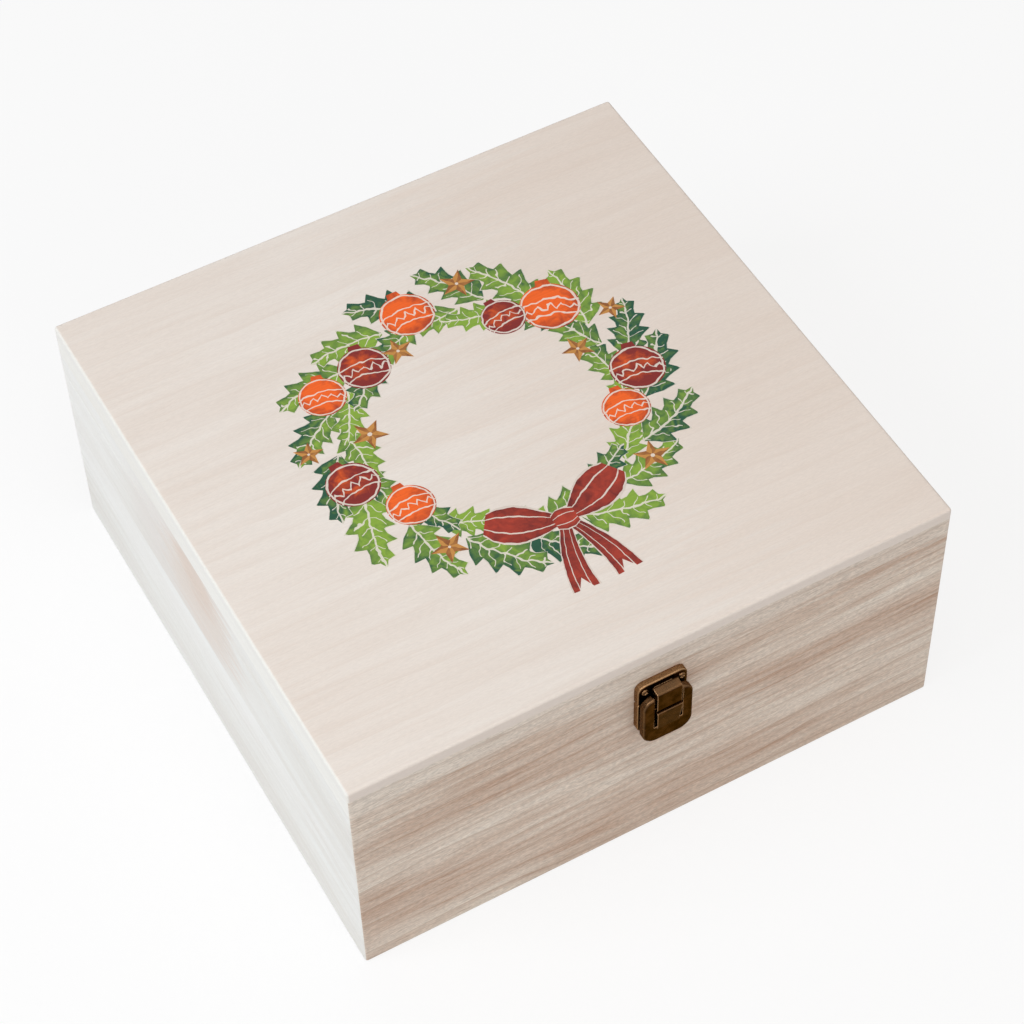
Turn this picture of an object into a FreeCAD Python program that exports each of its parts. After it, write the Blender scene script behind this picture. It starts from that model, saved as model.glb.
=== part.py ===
"""Square wooden keepsake box: mitred base, hinged lid, two stop hinges and a draw latch.

Millimetres. The origin is the middle of the underside, X runs along the front, Y to the back, Z up.
Hardware is drawn in the frame of the wall that it sits on: the face of the wood at the seam is its
origin, and minus Y points away from the wood.
"""
import FreeCAD, Part
import math
import os
import Sketcher
from FreeCAD import Placement, Rotation, Vector

SIZES = {
    # Wooden box
    "box_width": 300,
    "box_depth": 300,
    "base_height": 105,
    "rail_height": 25,
    "top_thickness": 6,
    "wall_thickness": 9,
    "corner_round": 1.5,
    "foot_round": 1,
    "seam_round": 0.5,
    # Floor panel, loose in a groove
    "floor_thickness": 3,
    "floor_rise": 5,
    "groove_depth": 4,
    "groove_slack": 0.2,
    "floor_clearance": 0.5,
    # Shared by the metal pieces
    "sheet_thickness": 0.8,
    "pin_clearance": 0.05,
    "cut_overrun": 1,
    # Round-head screws
    "screw_radius": 0.8,
    "screw_bite": 5,
    "screw_clearance": 0.05,
    "screw_head_radius": 1.7,
    "screw_head_height": 1,
    "screw_head_round": 0.8,
    "recess_arm": 1,
    "recess_width": 0.7,
    "recess_depth": 0.6,
    # Hinges
    "hinge_inset": 60,
    "leaf_width": 30,
    "leaf_height": 14,
    "leaf_thickness": 0.9,
    "leaf_round": 2,
    "barrel_radius": 1.9,
    "barrel_standoff": 0.3,
    "barrel_play": 0.35,
    "centre_knuckle_width": 13.4,
    "knuckle_play": 0.3,
    "hinge_pin_radius": 0.9,
    "hinge_pin_overhang": 0.6,
    "hinge_screw_spacing": 18,
    "hinge_screw_drop": 8.5,
    "stop_angle": 105,
    "stop_gap": 0.3,
    "stop_lip_reach": 3.8,
    "stop_lip_thickness": 0.9,
    "stop_lip_width": 10,
    # Pressed plates of the latch
    "latch_width": 25,
    "plate_depth": 3.3,
    "plate_round": 4,
    "plate_heel_round": 1,
    "plate_seam_gap": 0.3,
    "strike_height": 12.2,
    "anchor_height": 20.5,
    "latch_screw_spacing": 18.4,
    "strike_screw_rise": 8.8,
    "anchor_screw_drop": 17,
    "catch_width": 9,
    "catch_rise": 8.4,
    "catch_depth": 0.8,
    "catch_thickness": 0.8,
    "ear_thickness": 0.6,
    "ear_radius": 1.2,
    "ear_drop": 9,
    "ear_root_drop": 4,
    # Lever
    "lever_drop": 24,
    "lever_reach": 8.6,
    "lever_depth": 3.4,
    "lever_shoulder_round": 6,
    "lever_lip_round": 7,
    "lever_edge_round": 1.2,
    "pivot_rise": 5,
    "pivot_reach": 6.4,
    "lever_pin_radius": 0.6,
    "lever_pin_length": 18.6,
    "slot_width": 14.4,
    "slot_drop": 13.5,
    "tongue_width": 12.8,
    "tongue_foot_width": 10.8,
    "tongue_drop": 15.5,
    "tongue_proud": 1.6,
    "tongue_thickness": 2.2,
    "tongue_gap": 0.5,
    "tongue_round": 0.5,
    # Link with its hook
    "link_width": 12.4,
    "link_pivot_drop": 0.1,
    "link_pivot_reach": 7.9,
    "link_pin_radius": 0.4,
    "link_barrel_radius": 1.5,
    "link_shoulder_rise": 10.9,
    "link_roof_rise": 11.6,
    "link_nose_rise": 8.6,
    "link_nose_gap": 0.3,
    "link_flange": 7.4,
    "link_flange_rise": 6.9,
    "link_bend_round": 1,
}

PLACES = {
    # Wooden box
    "half_width": "Sizes.box_width / 2",
    "half_depth": "Sizes.box_depth / 2",
    "inner_half_width": "half_width - Sizes.wall_thickness",
    "inner_half_depth": "half_depth - Sizes.wall_thickness",
    "flat_half_width": "half_width - Sizes.corner_round",
    "flat_half_depth": "half_depth - Sizes.corner_round",
    "tip_half_width": "flat_half_width + Sizes.corner_round * cos(45 deg)",
    "tip_half_depth": "flat_half_depth + Sizes.corner_round * cos(45 deg)",
    "lid_underside": "Sizes.base_height + Sizes.rail_height",
    # Floor panel
    "groove_half_width": "inner_half_width + Sizes.groove_depth",
    "groove_half_depth": "inner_half_depth + Sizes.groove_depth",
    "groove_mouth_half_width": "inner_half_width - Sizes.cut_overrun",
    "groove_mouth_half_depth": "inner_half_depth - Sizes.cut_overrun",
    "groove_top": "Sizes.floor_rise + Sizes.floor_thickness + Sizes.groove_slack",
    "floor_half_width": "groove_half_width - Sizes.floor_clearance",
    "floor_half_depth": "groove_half_depth - Sizes.floor_clearance",
    # Screws and the pilot holes in the wood
    "screw_hole_radius": "Sizes.screw_radius + Sizes.screw_clearance",
    "pilot_depth": "Sizes.screw_bite + Sizes.screw_clearance",
    "recess_half_width": "Sizes.recess_width / 2",
    "latch_screw_half": "Sizes.latch_screw_spacing / 2",
    "hinge_screw_half": "Sizes.hinge_screw_spacing / 2",
    "hinge_screw_far": "hinge_half_spacing + hinge_screw_half",
    "hinge_screw_near": "hinge_half_spacing - hinge_screw_half",
    # Hinges
    "hinge_half_spacing": "half_width - Sizes.hinge_inset",
    "hinge_axis_reach": "Sizes.barrel_radius + Sizes.barrel_standoff",
    "leaf_half_width": "Sizes.leaf_width / 2",
    "knuckle_half": "Sizes.centre_knuckle_width / 2",
    "knuckle_gap_half": "knuckle_half + Sizes.knuckle_play",
    "barrel_relief": "Sizes.barrel_radius + Sizes.barrel_play",
    "hinge_bore_radius": "Sizes.hinge_pin_radius + Sizes.pin_clearance",
    "hinge_pin_length": "Sizes.leaf_width + 2 * Sizes.hinge_pin_overhang",
    "stop_lip_inner": "hinge_axis_reach - Sizes.leaf_thickness - Sizes.stop_gap",
    "stop_lip_outer": "stop_lip_inner - Sizes.stop_lip_thickness",
    # Pressed plates of the latch
    "latch_half_width": "Sizes.latch_width / 2",
    "plate_hollow_half": "latch_half_width - Sizes.sheet_thickness",
    "plate_hollow_depth": "Sizes.plate_depth - Sizes.sheet_thickness",
    "plate_hollow_round": "Sizes.plate_round - Sizes.sheet_thickness",
    "strike_low": "Sizes.plate_seam_gap",
    "strike_high": "strike_low + Sizes.strike_height",
    "strike_hollow_low": "strike_low + Sizes.sheet_thickness",
    "strike_hollow_high": "strike_high - Sizes.sheet_thickness",
    "anchor_high": "-Sizes.plate_seam_gap",
    "anchor_low": "anchor_high - Sizes.anchor_height",
    "anchor_hollow_low": "anchor_low + Sizes.sheet_thickness",
    "anchor_hollow_high": "anchor_high - Sizes.sheet_thickness",
    "catch_front": "Sizes.plate_depth + Sizes.catch_depth",
    "catch_top": "Sizes.catch_rise + Sizes.catch_thickness",
    "ear_middle": "(Sizes.link_width + Sizes.slot_width) / 4",
    "ear_spread": "2 * ear_middle + Sizes.ear_thickness",
    "ear_gap": "2 * ear_middle - Sizes.ear_thickness",
    "ear_front": "Sizes.pivot_reach + Sizes.ear_radius",
    "ear_back": "Sizes.pivot_reach - Sizes.ear_radius",
    # Lever
    "lever_top": "Sizes.pivot_rise + Sizes.lever_reach - Sizes.pivot_reach",
    "lever_back": "Sizes.lever_reach - Sizes.lever_depth",
    "lever_hollow_depth": "Sizes.lever_depth - Sizes.sheet_thickness",
    "lever_hollow_top": "2 * Sizes.pivot_rise - lever_top",
    "lever_hollow_drop": "Sizes.lever_drop - Sizes.sheet_thickness",
    "lever_hollow_round": "Sizes.lever_lip_round - Sizes.sheet_thickness",
    "lever_bore_radius": "Sizes.lever_pin_radius + Sizes.pin_clearance",
    "lever_bore_length": "Sizes.lever_pin_length + 2 * Sizes.pin_clearance",
    "slot_half": "Sizes.slot_width / 2",
    "slot_top": "lever_top + Sizes.cut_overrun",
    "cheek_half": "slot_half + Sizes.sheet_thickness",
    "cheek_drop": "Sizes.slot_drop + Sizes.sheet_thickness",
    "tongue_half": "Sizes.tongue_width / 2",
    "tongue_foot_half": "Sizes.tongue_foot_width / 2",
    "tongue_top_drop": "Sizes.link_pivot_drop + Sizes.link_barrel_radius + Sizes.tongue_gap",
    "tongue_front": "Sizes.lever_reach + Sizes.tongue_proud",
    "tongue_back": "tongue_front - Sizes.tongue_thickness",
    # Link
    "link_bore_radius": "Sizes.link_pin_radius + Sizes.pin_clearance",
    "link_pin_length": "2 * cheek_half",
    "link_bore_length": "link_pin_length + Sizes.cut_overrun",
    "link_front": "Sizes.link_pivot_reach + Sizes.link_barrel_radius",
    "link_back": "link_front - Sizes.sheet_thickness",
    "link_nose": "catch_front + Sizes.link_nose_gap",
    "link_nose_front": "link_nose + Sizes.sheet_thickness",
    "link_inside_width": "Sizes.link_width - 2 * Sizes.sheet_thickness",
    "link_roof_climb": "Sizes.link_roof_rise - Sizes.link_shoulder_rise",
    "link_roof_step": "link_roof_climb * Sizes.sheet_thickness / (link_front - link_nose)",
    "link_roof_low_back": "Sizes.link_roof_rise - Sizes.sheet_thickness - link_roof_step",
    "link_roof_low_front": "Sizes.link_shoulder_rise - Sizes.sheet_thickness + link_roof_step",
}

# Geometry and vertex numbers that a sketch constraint takes
ROOT_INDEX = -1
START_INDEX = 1
END_INDEX = 2
CENTRE_INDEX = 3

QUARTER_TURN_ANGLE = 90
MATCH = 1e-4

doc = FreeCAD.newDocument("keepsake_box")
sheet = doc.addObject("Spreadsheet::Sheet", "Sizes")
for row, (alias, size) in enumerate(SIZES.items(), start=1):
    sheet.set(f"A{row}", alias)
    sheet.set(f"B{row}", str(size))
    sheet.setAlias(f"B{row}", alias)
doc.recompute()
places = doc.addObject("App::VarSet", "Places")
for place in PLACES:
    places.addProperty("App::PropertyFloat", place)
for place, formula in PLACES.items():
    places.setExpression(place, formula)
doc.recompute()

subparts = []


def terms_of(place):
    """The sign, holder and name of each term of a place: one name or a tuple of names to add up."""
    for term in (place,) if isinstance(place, str) else place:
        name = term.lstrip("-")
        yield "-" if term.startswith("-") else "+", sheet if name in SIZES else places, name


def binding(place):
    """The formula for a place; a leading minus mirrors a name."""
    return " ".join(f"{sign} {holder.Name}.{name}" for sign, holder, name in terms_of(place))


def length_of(place):
    """The present length of a place; a leading minus mirrors a name."""
    lengths = []
    for sign, holder, name in terms_of(place):
        length = getattr(holder, name)
        lengths.append(-length if sign == "-" else length)
    return sum(lengths)


def at(across, up):
    """A sketch point at two named places, or at zero where a place is 0."""
    return Vector(*(length_of(place) if place else 0 for place in (across, up)), 0)


def new_body(label):
    """An empty sub-part."""
    body = doc.addObject("PartDesign::Body", label)
    body.Label = label
    subparts.append(body)
    return body


def place_on_wall(piece, turns, across, out, up):
    """Turn a sub-part about Z by quarter turns, and move it to named places along X, Y and Z."""
    piece.Placement = Placement(Vector(), Rotation(Vector(0, 0, 1), turns * QUARTER_TURN_ANGLE))
    for axis, place in zip("xyz", (across, out, up)):
        if place:
            piece.setExpression(f"Placement.Base.{axis}", binding(place))


def seat_hardware(piece, wall, across=0):
    """Seat a piece of hardware on the front or the back wall, at the seam."""
    out = "-half_depth" if wall == "front" else "half_depth"
    place_on_wall(piece, WALL_TURNS[wall], across, out, "base_height")


def new_sketch(body, name, plane, offset=None):
    """A sketch on one of the body's own planes, moved along its normal to a named place."""
    sketch = body.newObject("Sketcher::SketchObject", name)
    origin_plane = next(item for item in body.Origin.OriginFeatures if item.Role == plane)
    sketch.AttachmentSupport = [(origin_plane, "")]
    sketch.MapMode = "FlatFace"
    if offset:
        sketch.setExpression("AttachmentOffset.Base.z", binding(offset))
    return sketch


def fix_point(sketch, geometry, vertex, point):
    """Hold one vertex of a sketch at a pair of named places."""
    position = at(*point)
    for kind, place, distance in zip(("DistanceX", "DistanceY"), point, position):
        limit = Sketcher.Constraint(kind, ROOT_INDEX, START_INDEX, geometry, vertex, distance)
        index = sketch.addConstraint(limit)
        if place:
            sketch.setExpression(f"Constraints[{index}]", binding(place))


def fix_radius(sketch, geometry, radius):
    """Hold the radius of a circle or arc at a named size."""
    index = sketch.addConstraint(Sketcher.Constraint("Radius", geometry, length_of(radius)))
    sketch.setExpression(f"Constraints[{index}]", binding(radius))


def close_outline(sketch, edges):
    """Join a run of edges end to end into a loop."""
    for edge, following in zip(edges, edges[1:] + edges[:1]):
        sketch.addConstraint(Sketcher.Constraint("Coincident", edge, END_INDEX, following, START_INDEX))


def draw_polygon(sketch, points):
    """A closed run of lines through points given as pairs of named places."""
    corners = [at(*point) for point in points]
    edges = []
    for start, end in zip(corners, corners[1:] + corners[:1]):
        edges.append(sketch.addGeometry(Part.LineSegment(start, end), False))
    close_outline(sketch, edges)
    for edge, point in zip(edges, points):
        fix_point(sketch, edge, START_INDEX, point)


def draw_rectangle(sketch, left, right, low, high):
    """A rectangle between named places."""
    draw_polygon(sketch, [(left, low), (right, low), (right, high), (left, high)])


def draw_circle(sketch, centre, radius):
    """A circle of a named radius about a point given as a pair of named places."""
    circle = sketch.addGeometry(Part.Circle(at(*centre), Vector(0, 0, 1), length_of(radius)), False)
    fix_point(sketch, circle, CENTRE_INDEX, centre)
    fix_radius(sketch, circle, radius)


def finish_feature(body, feature):
    """Recompute, and stop at the first feature that fails."""
    doc.recompute()
    if feature.Shape.isNull() or "Invalid" in feature.State:
        raise RuntimeError(f"{body.Label}: {feature.Label} fails: {feature.getStatusString()}")
    return feature


def add_pad(body, name, sketch, length, symmetric=False):
    """Grow a sketch into a solid, along its normal or to both sides."""
    pad = body.newObject("PartDesign::Pad", name)
    pad.Profile = sketch
    pad.SideType = "Symmetric" if symmetric else "One side"
    pad.setExpression("Length", binding(length))
    return finish_feature(body, pad)


def add_pocket(body, name, sketch, length=None, symmetric=False, along_normal=False):
    """Cut a sketch into the solid to a named depth, or right through."""
    volume_before = body.Shape.Volume
    pocket = body.newObject("PartDesign::Pocket", name)
    pocket.Profile = sketch
    pocket.SideType = "Symmetric" if symmetric else "One side"
    pocket.Reversed = along_normal
    if length:
        pocket.setExpression("Length", binding(length))
    else:
        pocket.Type = "ThroughAll"
    finish_feature(body, pocket)
    if pocket.Shape.Volume > volume_before - MATCH:
        raise RuntimeError(f"{body.Label}: {name} cuts nothing")
    return pocket


def add_round(body, name, base, radius, belongs):
    """Round the edges of a feature whose middle passes a test."""
    edges = []
    for number, edge in enumerate(base.Shape.Edges, start=1):
        if belongs(edge.valueAt((edge.FirstParameter + edge.LastParameter) / 2)):
            edges.append(f"Edge{number}")
    if not edges:
        raise RuntimeError(f"{body.Label}: {name} finds no edge")
    fillet = body.newObject("PartDesign::Fillet", name)
    fillet.Base = (base, edges)
    fillet.setExpression("Radius", binding(radius))
    return finish_feature(body, fillet)


def near(coordinate, place):
    """Whether a coordinate lies at a named place."""
    return abs(coordinate - length_of(place)) < MATCH


def on_corner(point, across, up):
    """Whether a point lies on a corner that runs along Y, on either side of the middle."""
    return near(abs(point.x), across) and near(point.z, up)


def draw_wall_plan(sketch, along, across):
    """Plan of a mitred wall: its outer corners each carry half of the box's rounded corner."""
    flat, inner, tip = (f"{part}_half_{along}" for part in ("flat", "inner", "tip"))
    face, inner_face, tip_face = f"-half_{across}", f"-inner_half_{across}", f"-tip_half_{across}"
    rounding_centre = f"-flat_half_{across}"
    radius = length_of("corner_round")

    def line(start, end):
        return sketch.addGeometry(Part.LineSegment(at(*start), at(*end)), False)

    def arc(centre, first_angle, last_angle):
        circle = Part.Circle(at(*centre), Vector(0, 0, 1), radius)
        return sketch.addGeometry(Part.ArcOfCircle(circle, first_angle, last_angle), False)

    downward, eighth_turn = -math.pi / 2, math.pi / 4
    starts = [
        (f"-{flat}", face),
        (flat, face),
        (tip, tip_face),
        (inner, inner_face),
        (f"-{inner}", inner_face),
        (f"-{tip}", tip_face),
    ]
    edges = [
        line(starts[0], starts[1]),
        arc((flat, rounding_centre), downward, downward + eighth_turn),
        line(starts[2], starts[3]),
        line(starts[3], starts[4]),
        line(starts[4], starts[5]),
        arc((f"-{flat}", rounding_centre), downward - eighth_turn, downward),
    ]
    close_outline(sketch, edges)
    for edge, start in zip(edges, starts):
        fix_point(sketch, edge, START_INDEX, start)
    for edge in (edges[1], edges[-1]):
        fix_radius(sketch, edge, "corner_round")


def outer_edge_test(across, up):
    """A test for the outer edge of a wall at one height, 0 being the underside."""
    height = length_of(up) if up else 0
    rounding_start = length_of(f"-flat_half_{across}")
    return lambda point: abs(point.z - height) < MATCH and point.y < rounding_start


def drill_pilot_holes(body, across, centres):
    """Holes for screws in the outer face of a wall."""
    sketch = new_sketch(body, "PilotHoles", "XZ_Plane", f"half_{across}")
    for centre in centres:
        draw_circle(sketch, centre, "screw_hole_radius")
    add_pocket(body, "PilotPocket", sketch, "pilot_depth")


def make_base_wall(label, turns, along, across, screw_centres):
    """A wall of the base, with a groove for the floor panel and rounded outer edges."""
    body = new_body(label)
    plan = new_sketch(body, "Plan", "XY_Plane")
    draw_wall_plan(plan, along, across)
    wall = add_pad(body, "Wall", plan, "base_height")
    wall = add_round(body, "FootRound", wall, "foot_round", outer_edge_test(across, 0))
    add_round(body, "SeamRound", wall, "seam_round", outer_edge_test(across, "base_height"))
    groove = new_sketch(body, "Groove", "YZ_Plane")
    back, mouth = f"-groove_half_{across}", f"-groove_mouth_half_{across}"
    draw_rectangle(groove, back, mouth, "floor_rise", "groove_top")
    add_pocket(body, "GroovePocket", groove, symmetric=True)
    if screw_centres:
        drill_pilot_holes(body, across, screw_centres)
    place_on_wall(body, turns, 0, 0, 0)


def make_lid_rail(label, turns, along, across, screw_centres):
    """A rail of the lid, the upper strip of a wall that was sawn apart at the seam."""
    body = new_body(label)
    plan = new_sketch(body, "Plan", "XY_Plane", "base_height")
    draw_wall_plan(plan, along, across)
    rail = add_pad(body, "Rail", plan, "rail_height")
    add_round(body, "SeamRound", rail, "seam_round", outer_edge_test(across, "base_height"))
    if screw_centres:
        drill_pilot_holes(body, across, screw_centres)
    place_on_wall(body, turns, 0, 0, 0)


def make_floor_panel():
    """The floor, a thin board that lies loose in the grooves of the base walls."""
    body = new_body("base_floor_panel")
    plan = new_sketch(body, "Plan", "XY_Plane", "floor_rise")
    draw_rectangle(plan, "-floor_half_width", "floor_half_width", "-floor_half_depth", "floor_half_depth")
    add_pad(body, "Panel", plan, "floor_thickness")


def make_top_panel():
    """The top board of the lid, glued on the rails and rounded on its upper and corner edges."""
    body = new_body("lid_top_panel")
    plan = new_sketch(body, "Plan", "XY_Plane", "lid_underside")
    draw_rectangle(plan, "-half_width", "half_width", "-half_depth", "half_depth")
    panel = add_pad(body, "Panel", plan, "top_thickness")
    underside = length_of("lid_underside")
    add_round(body, "TopRound", panel, "corner_round", lambda point: point.z > underside + MATCH)


def draw_cross(sketch, across, up):
    """A cross recess about a screw's centre."""
    arm, side = "recess_arm", "recess_half_width"
    steps = [(side, arm), (side, side), (arm, side)]
    points = []
    for across_sign, up_sign, order in (("", "-", 1), ("", "", -1), ("-", "", 1), ("-", "-", -1)):
        for x, y in steps[::order]:
            points.append(((across, across_sign + x), (up, up_sign + y)))
    draw_polygon(sketch, points)


def make_screws(label, wall, seat, centres):
    """Round-head cross-recess screws with their heads on a metal face at a named seat."""
    body = new_body(label)
    head_top = (seat, "screw_head_height")
    shanks = new_sketch(body, "Shanks", "XZ_Plane", "-screw_bite")
    heads = new_sketch(body, "Heads", "XZ_Plane", seat)
    recesses = new_sketch(body, "Recesses", "XZ_Plane", head_top)
    for centre in centres:
        draw_circle(shanks, centre, "screw_radius")
        draw_circle(heads, centre, "screw_head_radius")
        draw_cross(recesses, *centre)
    add_pad(body, "ShankPad", shanks, ("screw_bite", seat))
    head = add_pad(body, "HeadPad", heads, "screw_head_height")
    add_round(body, "HeadRound", head, "screw_head_round", lambda point: near(-point.y, head_top))
    add_pocket(body, "RecessPocket", recesses, "recess_depth")
    seat_hardware(body, wall)


def make_pin(label, radius, length, reach, rise, wall="front", across=0):
    """A straight pin along X, at a named reach from the wood and a rise from the seam."""
    body = new_body(label)
    section = new_sketch(body, "Section", "YZ_Plane")
    draw_circle(section, (f"-{reach}", rise), radius)
    add_pad(body, "Pin", section, length, symmetric=True)
    seat_hardware(body, wall, across)


def bore_pin_hole(body, reach, rise, radius, length=None):
    """A hole along X for a pin."""
    section = new_sketch(body, "PinHole", "YZ_Plane")
    draw_circle(section, (f"-{reach}", rise), radius)
    add_pocket(body, "PinHolePocket", section, length, symmetric=True)


def drill_screw_holes(body, face, centres):
    """Holes for screws through a metal plate, from its outer face inwards."""
    holes = new_sketch(body, "ScrewHoles", "XZ_Plane", face)
    for centre in centres:
        draw_circle(holes, centre, "screw_hole_radius")
    add_pocket(body, "ScrewHolePocket", holes, face)


def make_hinge_leaf(label, across, is_lid):
    """A hinge leaf with its knuckles; the lid's leaf has a lip that stops it on the base leaf."""
    body = new_body(label)
    outline = new_sketch(body, "Outline", "XZ_Plane")
    width = "leaf_half_width"
    if is_lid:
        far_edge, screw_height = "leaf_height", "hinge_screw_drop"
        tooth, root = "knuckle_half", "barrel_relief"
        half = [(tooth, 0), (tooth, root), (width, root), (width, far_edge)]
    else:
        far_edge, screw_height = "-leaf_height", "-hinge_screw_drop"
        gap, root = "knuckle_gap_half", "-barrel_relief"
        half = [(gap, root), (gap, 0), (width, 0), (width, far_edge)]
    draw_polygon(outline, half + [(f"-{x}", y) for x, y in reversed(half)])
    leaf = add_pad(body, "Leaf", outline, "leaf_thickness")
    add_round(body, "LeafRound", leaf, "leaf_round", lambda point: on_corner(point, width, far_edge))
    if is_lid:
        add_knuckle(body, "-knuckle_half", "centre_knuckle_width")
        add_stop_lip(body)
    else:
        for inner_end in ("knuckle_gap_half", "-leaf_half_width"):
            add_knuckle(body, inner_end, ("leaf_half_width", "-knuckle_gap_half"))
    bore_pin_hole(body, "hinge_axis_reach", 0, "hinge_bore_radius")
    drill_screw_holes(body, "leaf_thickness", mirrored_pair("hinge_screw_half", screw_height))
    seat_hardware(body, "back", across)


def add_knuckle(body, start, length):
    """A knuckle of the hinge's barrel, from a named place along X."""
    section = new_sketch(body, "Knuckle", "YZ_Plane", start)
    draw_circle(section, ("-hinge_axis_reach", 0), "barrel_radius")
    add_pad(body, "KnucklePad", section, length)


def add_stop_lip(body):
    """The lip is drawn as it lies on the base leaf with the lid open, then turned back to rest."""
    section = new_sketch(body, "StopLip", "YZ_Plane")
    section.setExpression("AttachmentOffset.Base.x", binding("-hinge_axis_reach"))
    section.setExpression("AttachmentOffset.Rotation.Angle", binding("-stop_angle"))
    draw_rectangle(section, "stop_lip_outer", "stop_lip_inner", "-stop_lip_reach", 0)
    add_pad(body, "StopLipPad", section, "stop_lip_width", symmetric=True)


def press_plate(body, low, high, hollow_low, hollow_high, rounded_end):
    """A shallow pressed pan with its open side on the wood and large corners at one end."""
    if rounded_end == "top":
        round_up, hollow_up, heel_up = high, hollow_high, low
    else:
        round_up, hollow_up, heel_up = low, hollow_low, high
    outline = new_sketch(body, "Outline", "XZ_Plane")
    draw_rectangle(outline, "-latch_half_width", "latch_half_width", low, high)
    add_pad(body, "Plate", outline, "plate_depth")
    hollow = new_sketch(body, "Hollow", "XZ_Plane")
    draw_rectangle(hollow, "-plate_hollow_half", "plate_hollow_half", hollow_low, hollow_high)
    plate = add_pocket(body, "HollowPocket", hollow, "plate_hollow_depth", along_normal=True)
    corners = (
        ("HollowRound", "plate_hollow_round", "plate_hollow_half", hollow_up),
        ("CornerRound", "plate_round", "latch_half_width", round_up),
        ("HeelRound", "plate_heel_round", "latch_half_width", heel_up),
    )
    for name, radius, across, up in corners:
        plate = add_round(body, name, plate, radius, lambda point: on_corner(point, across, up))
    add_round(body, "PressedEdge", plate, "sheet_thickness", lambda point: near(-point.y, "plate_depth"))


def make_strike_plate():
    """The plate on the lid, with the catch that the hook draws down."""
    body = new_body("latch_strike_plate")
    press_plate(body, "strike_low", "strike_high", "strike_hollow_low", "strike_hollow_high", "top")
    catch = new_sketch(body, "Catch", "YZ_Plane")
    draw_rectangle(catch, "-catch_front", "-plate_hollow_depth", "catch_rise", "catch_top")
    add_pad(body, "CatchPad", catch, "catch_width", symmetric=True)
    drill_screw_holes(body, "plate_depth", STRIKE_SCREWS)
    seat_hardware(body, "front")


def make_anchor_plate():
    """The plate on the base, with two ears that hold the lever's pin in front of the seam."""
    body = new_body("latch_anchor_plate")
    press_plate(body, "anchor_low", "anchor_high", "anchor_hollow_low", "anchor_hollow_high", "bottom")
    ear_points = [
        ("-plate_hollow_depth", "-ear_drop"),
        ("-plate_depth", "-ear_drop"),
        ("-ear_front", "pivot_rise"),
        ("-ear_back", "pivot_rise"),
        ("-plate_hollow_depth", "-ear_root_drop"),
    ]
    arm = new_sketch(body, "EarArm", "YZ_Plane")
    draw_polygon(arm, ear_points)
    add_pad(body, "EarArmPad", arm, "ear_spread", symmetric=True)
    eye = new_sketch(body, "EarEye", "YZ_Plane")
    draw_circle(eye, ("-pivot_reach", "pivot_rise"), "ear_radius")
    add_pad(body, "EarEyePad", eye, "ear_spread", symmetric=True)
    gap = new_sketch(body, "EarGap", "YZ_Plane")
    draw_rectangle(gap, "-lever_reach", "-plate_depth", ("-ear_drop", "-cut_overrun"), "slot_top")
    add_pocket(body, "EarGapPocket", gap, "ear_gap", symmetric=True)
    bore_pin_hole(body, "pivot_reach", "pivot_rise", "lever_bore_radius")
    drill_screw_holes(body, "plate_depth", ANCHOR_SCREWS)
    seat_hardware(body, "front")


def make_lever():
    """The lever: a pressed shell with rounded shoulders, a slot for the link and a tongue that slopes out."""
    body = new_body("latch_lever")
    outline = new_sketch(body, "Outline", "XZ_Plane", "lever_back")
    draw_rectangle(outline, "-latch_half_width", "latch_half_width", "-lever_drop", "lever_top")
    add_pad(body, "Shell", outline, "lever_depth")
    hollow = new_sketch(body, "Hollow", "XZ_Plane", "lever_back")
    half = [
        ("cheek_half", "-cheek_drop"),
        ("cheek_half", "lever_hollow_top"),
        ("plate_hollow_half", "lever_hollow_top"),
        ("plate_hollow_half", "-lever_hollow_drop"),
    ]
    draw_polygon(hollow, half + [(f"-{x}", y) for x, y in reversed(half)])
    lever = add_pocket(body, "HollowPocket", hollow, "lever_hollow_depth", along_normal=True)
    corners = (
        ("HollowRound", "lever_hollow_round", "plate_hollow_half", "-lever_hollow_drop"),
        ("LipRound", "lever_lip_round", "latch_half_width", "-lever_drop"),
        ("ShoulderRound", "lever_shoulder_round", "latch_half_width", "lever_top"),
    )
    for name, radius, across, up in corners:
        lever = add_round(body, name, lever, radius, lambda point: on_corner(point, across, up))
    add_round(body, "FaceRound", lever, "lever_edge_round", lambda point: near(-point.y, "lever_reach"))
    slot = new_sketch(body, "Slot", "XZ_Plane")
    draw_rectangle(slot, "-slot_half", "slot_half", "-slot_drop", "slot_top")
    add_pocket(body, "SlotPocket", slot, along_normal=True)
    tongue = new_sketch(body, "Tongue", "XZ_Plane", "tongue_back")
    tongue_points = [
        ("-tongue_foot_half", "-tongue_drop"),
        ("tongue_foot_half", "-tongue_drop"),
        ("tongue_half", "-tongue_top_drop"),
        ("-tongue_half", "-tongue_top_drop"),
    ]
    draw_polygon(tongue, tongue_points)
    add_pad(body, "TonguePad", tongue, "tongue_thickness")
    slope = new_sketch(body, "TongueSlope", "YZ_Plane")
    slope_points = [
        ("-tongue_front", "-tongue_top_drop"),
        ("-tongue_front", "-tongue_drop"),
        ("-lever_reach", "-tongue_drop"),
    ]
    draw_polygon(slope, slope_points)
    lever = add_pocket(body, "TongueSlopePocket", slope, symmetric=True)
    add_round(body, "TongueRound", lever, "tongue_round", lambda point: near(-point.y, "tongue_front"))
    bore_pin_hole(body, "pivot_reach", "pivot_rise", "lever_bore_radius", "lever_bore_length")
    bore_pin_hole(body, "link_pivot_reach", "-link_pivot_drop", "link_bore_radius", "link_bore_length")
    seat_hardware(body, "front")


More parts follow.
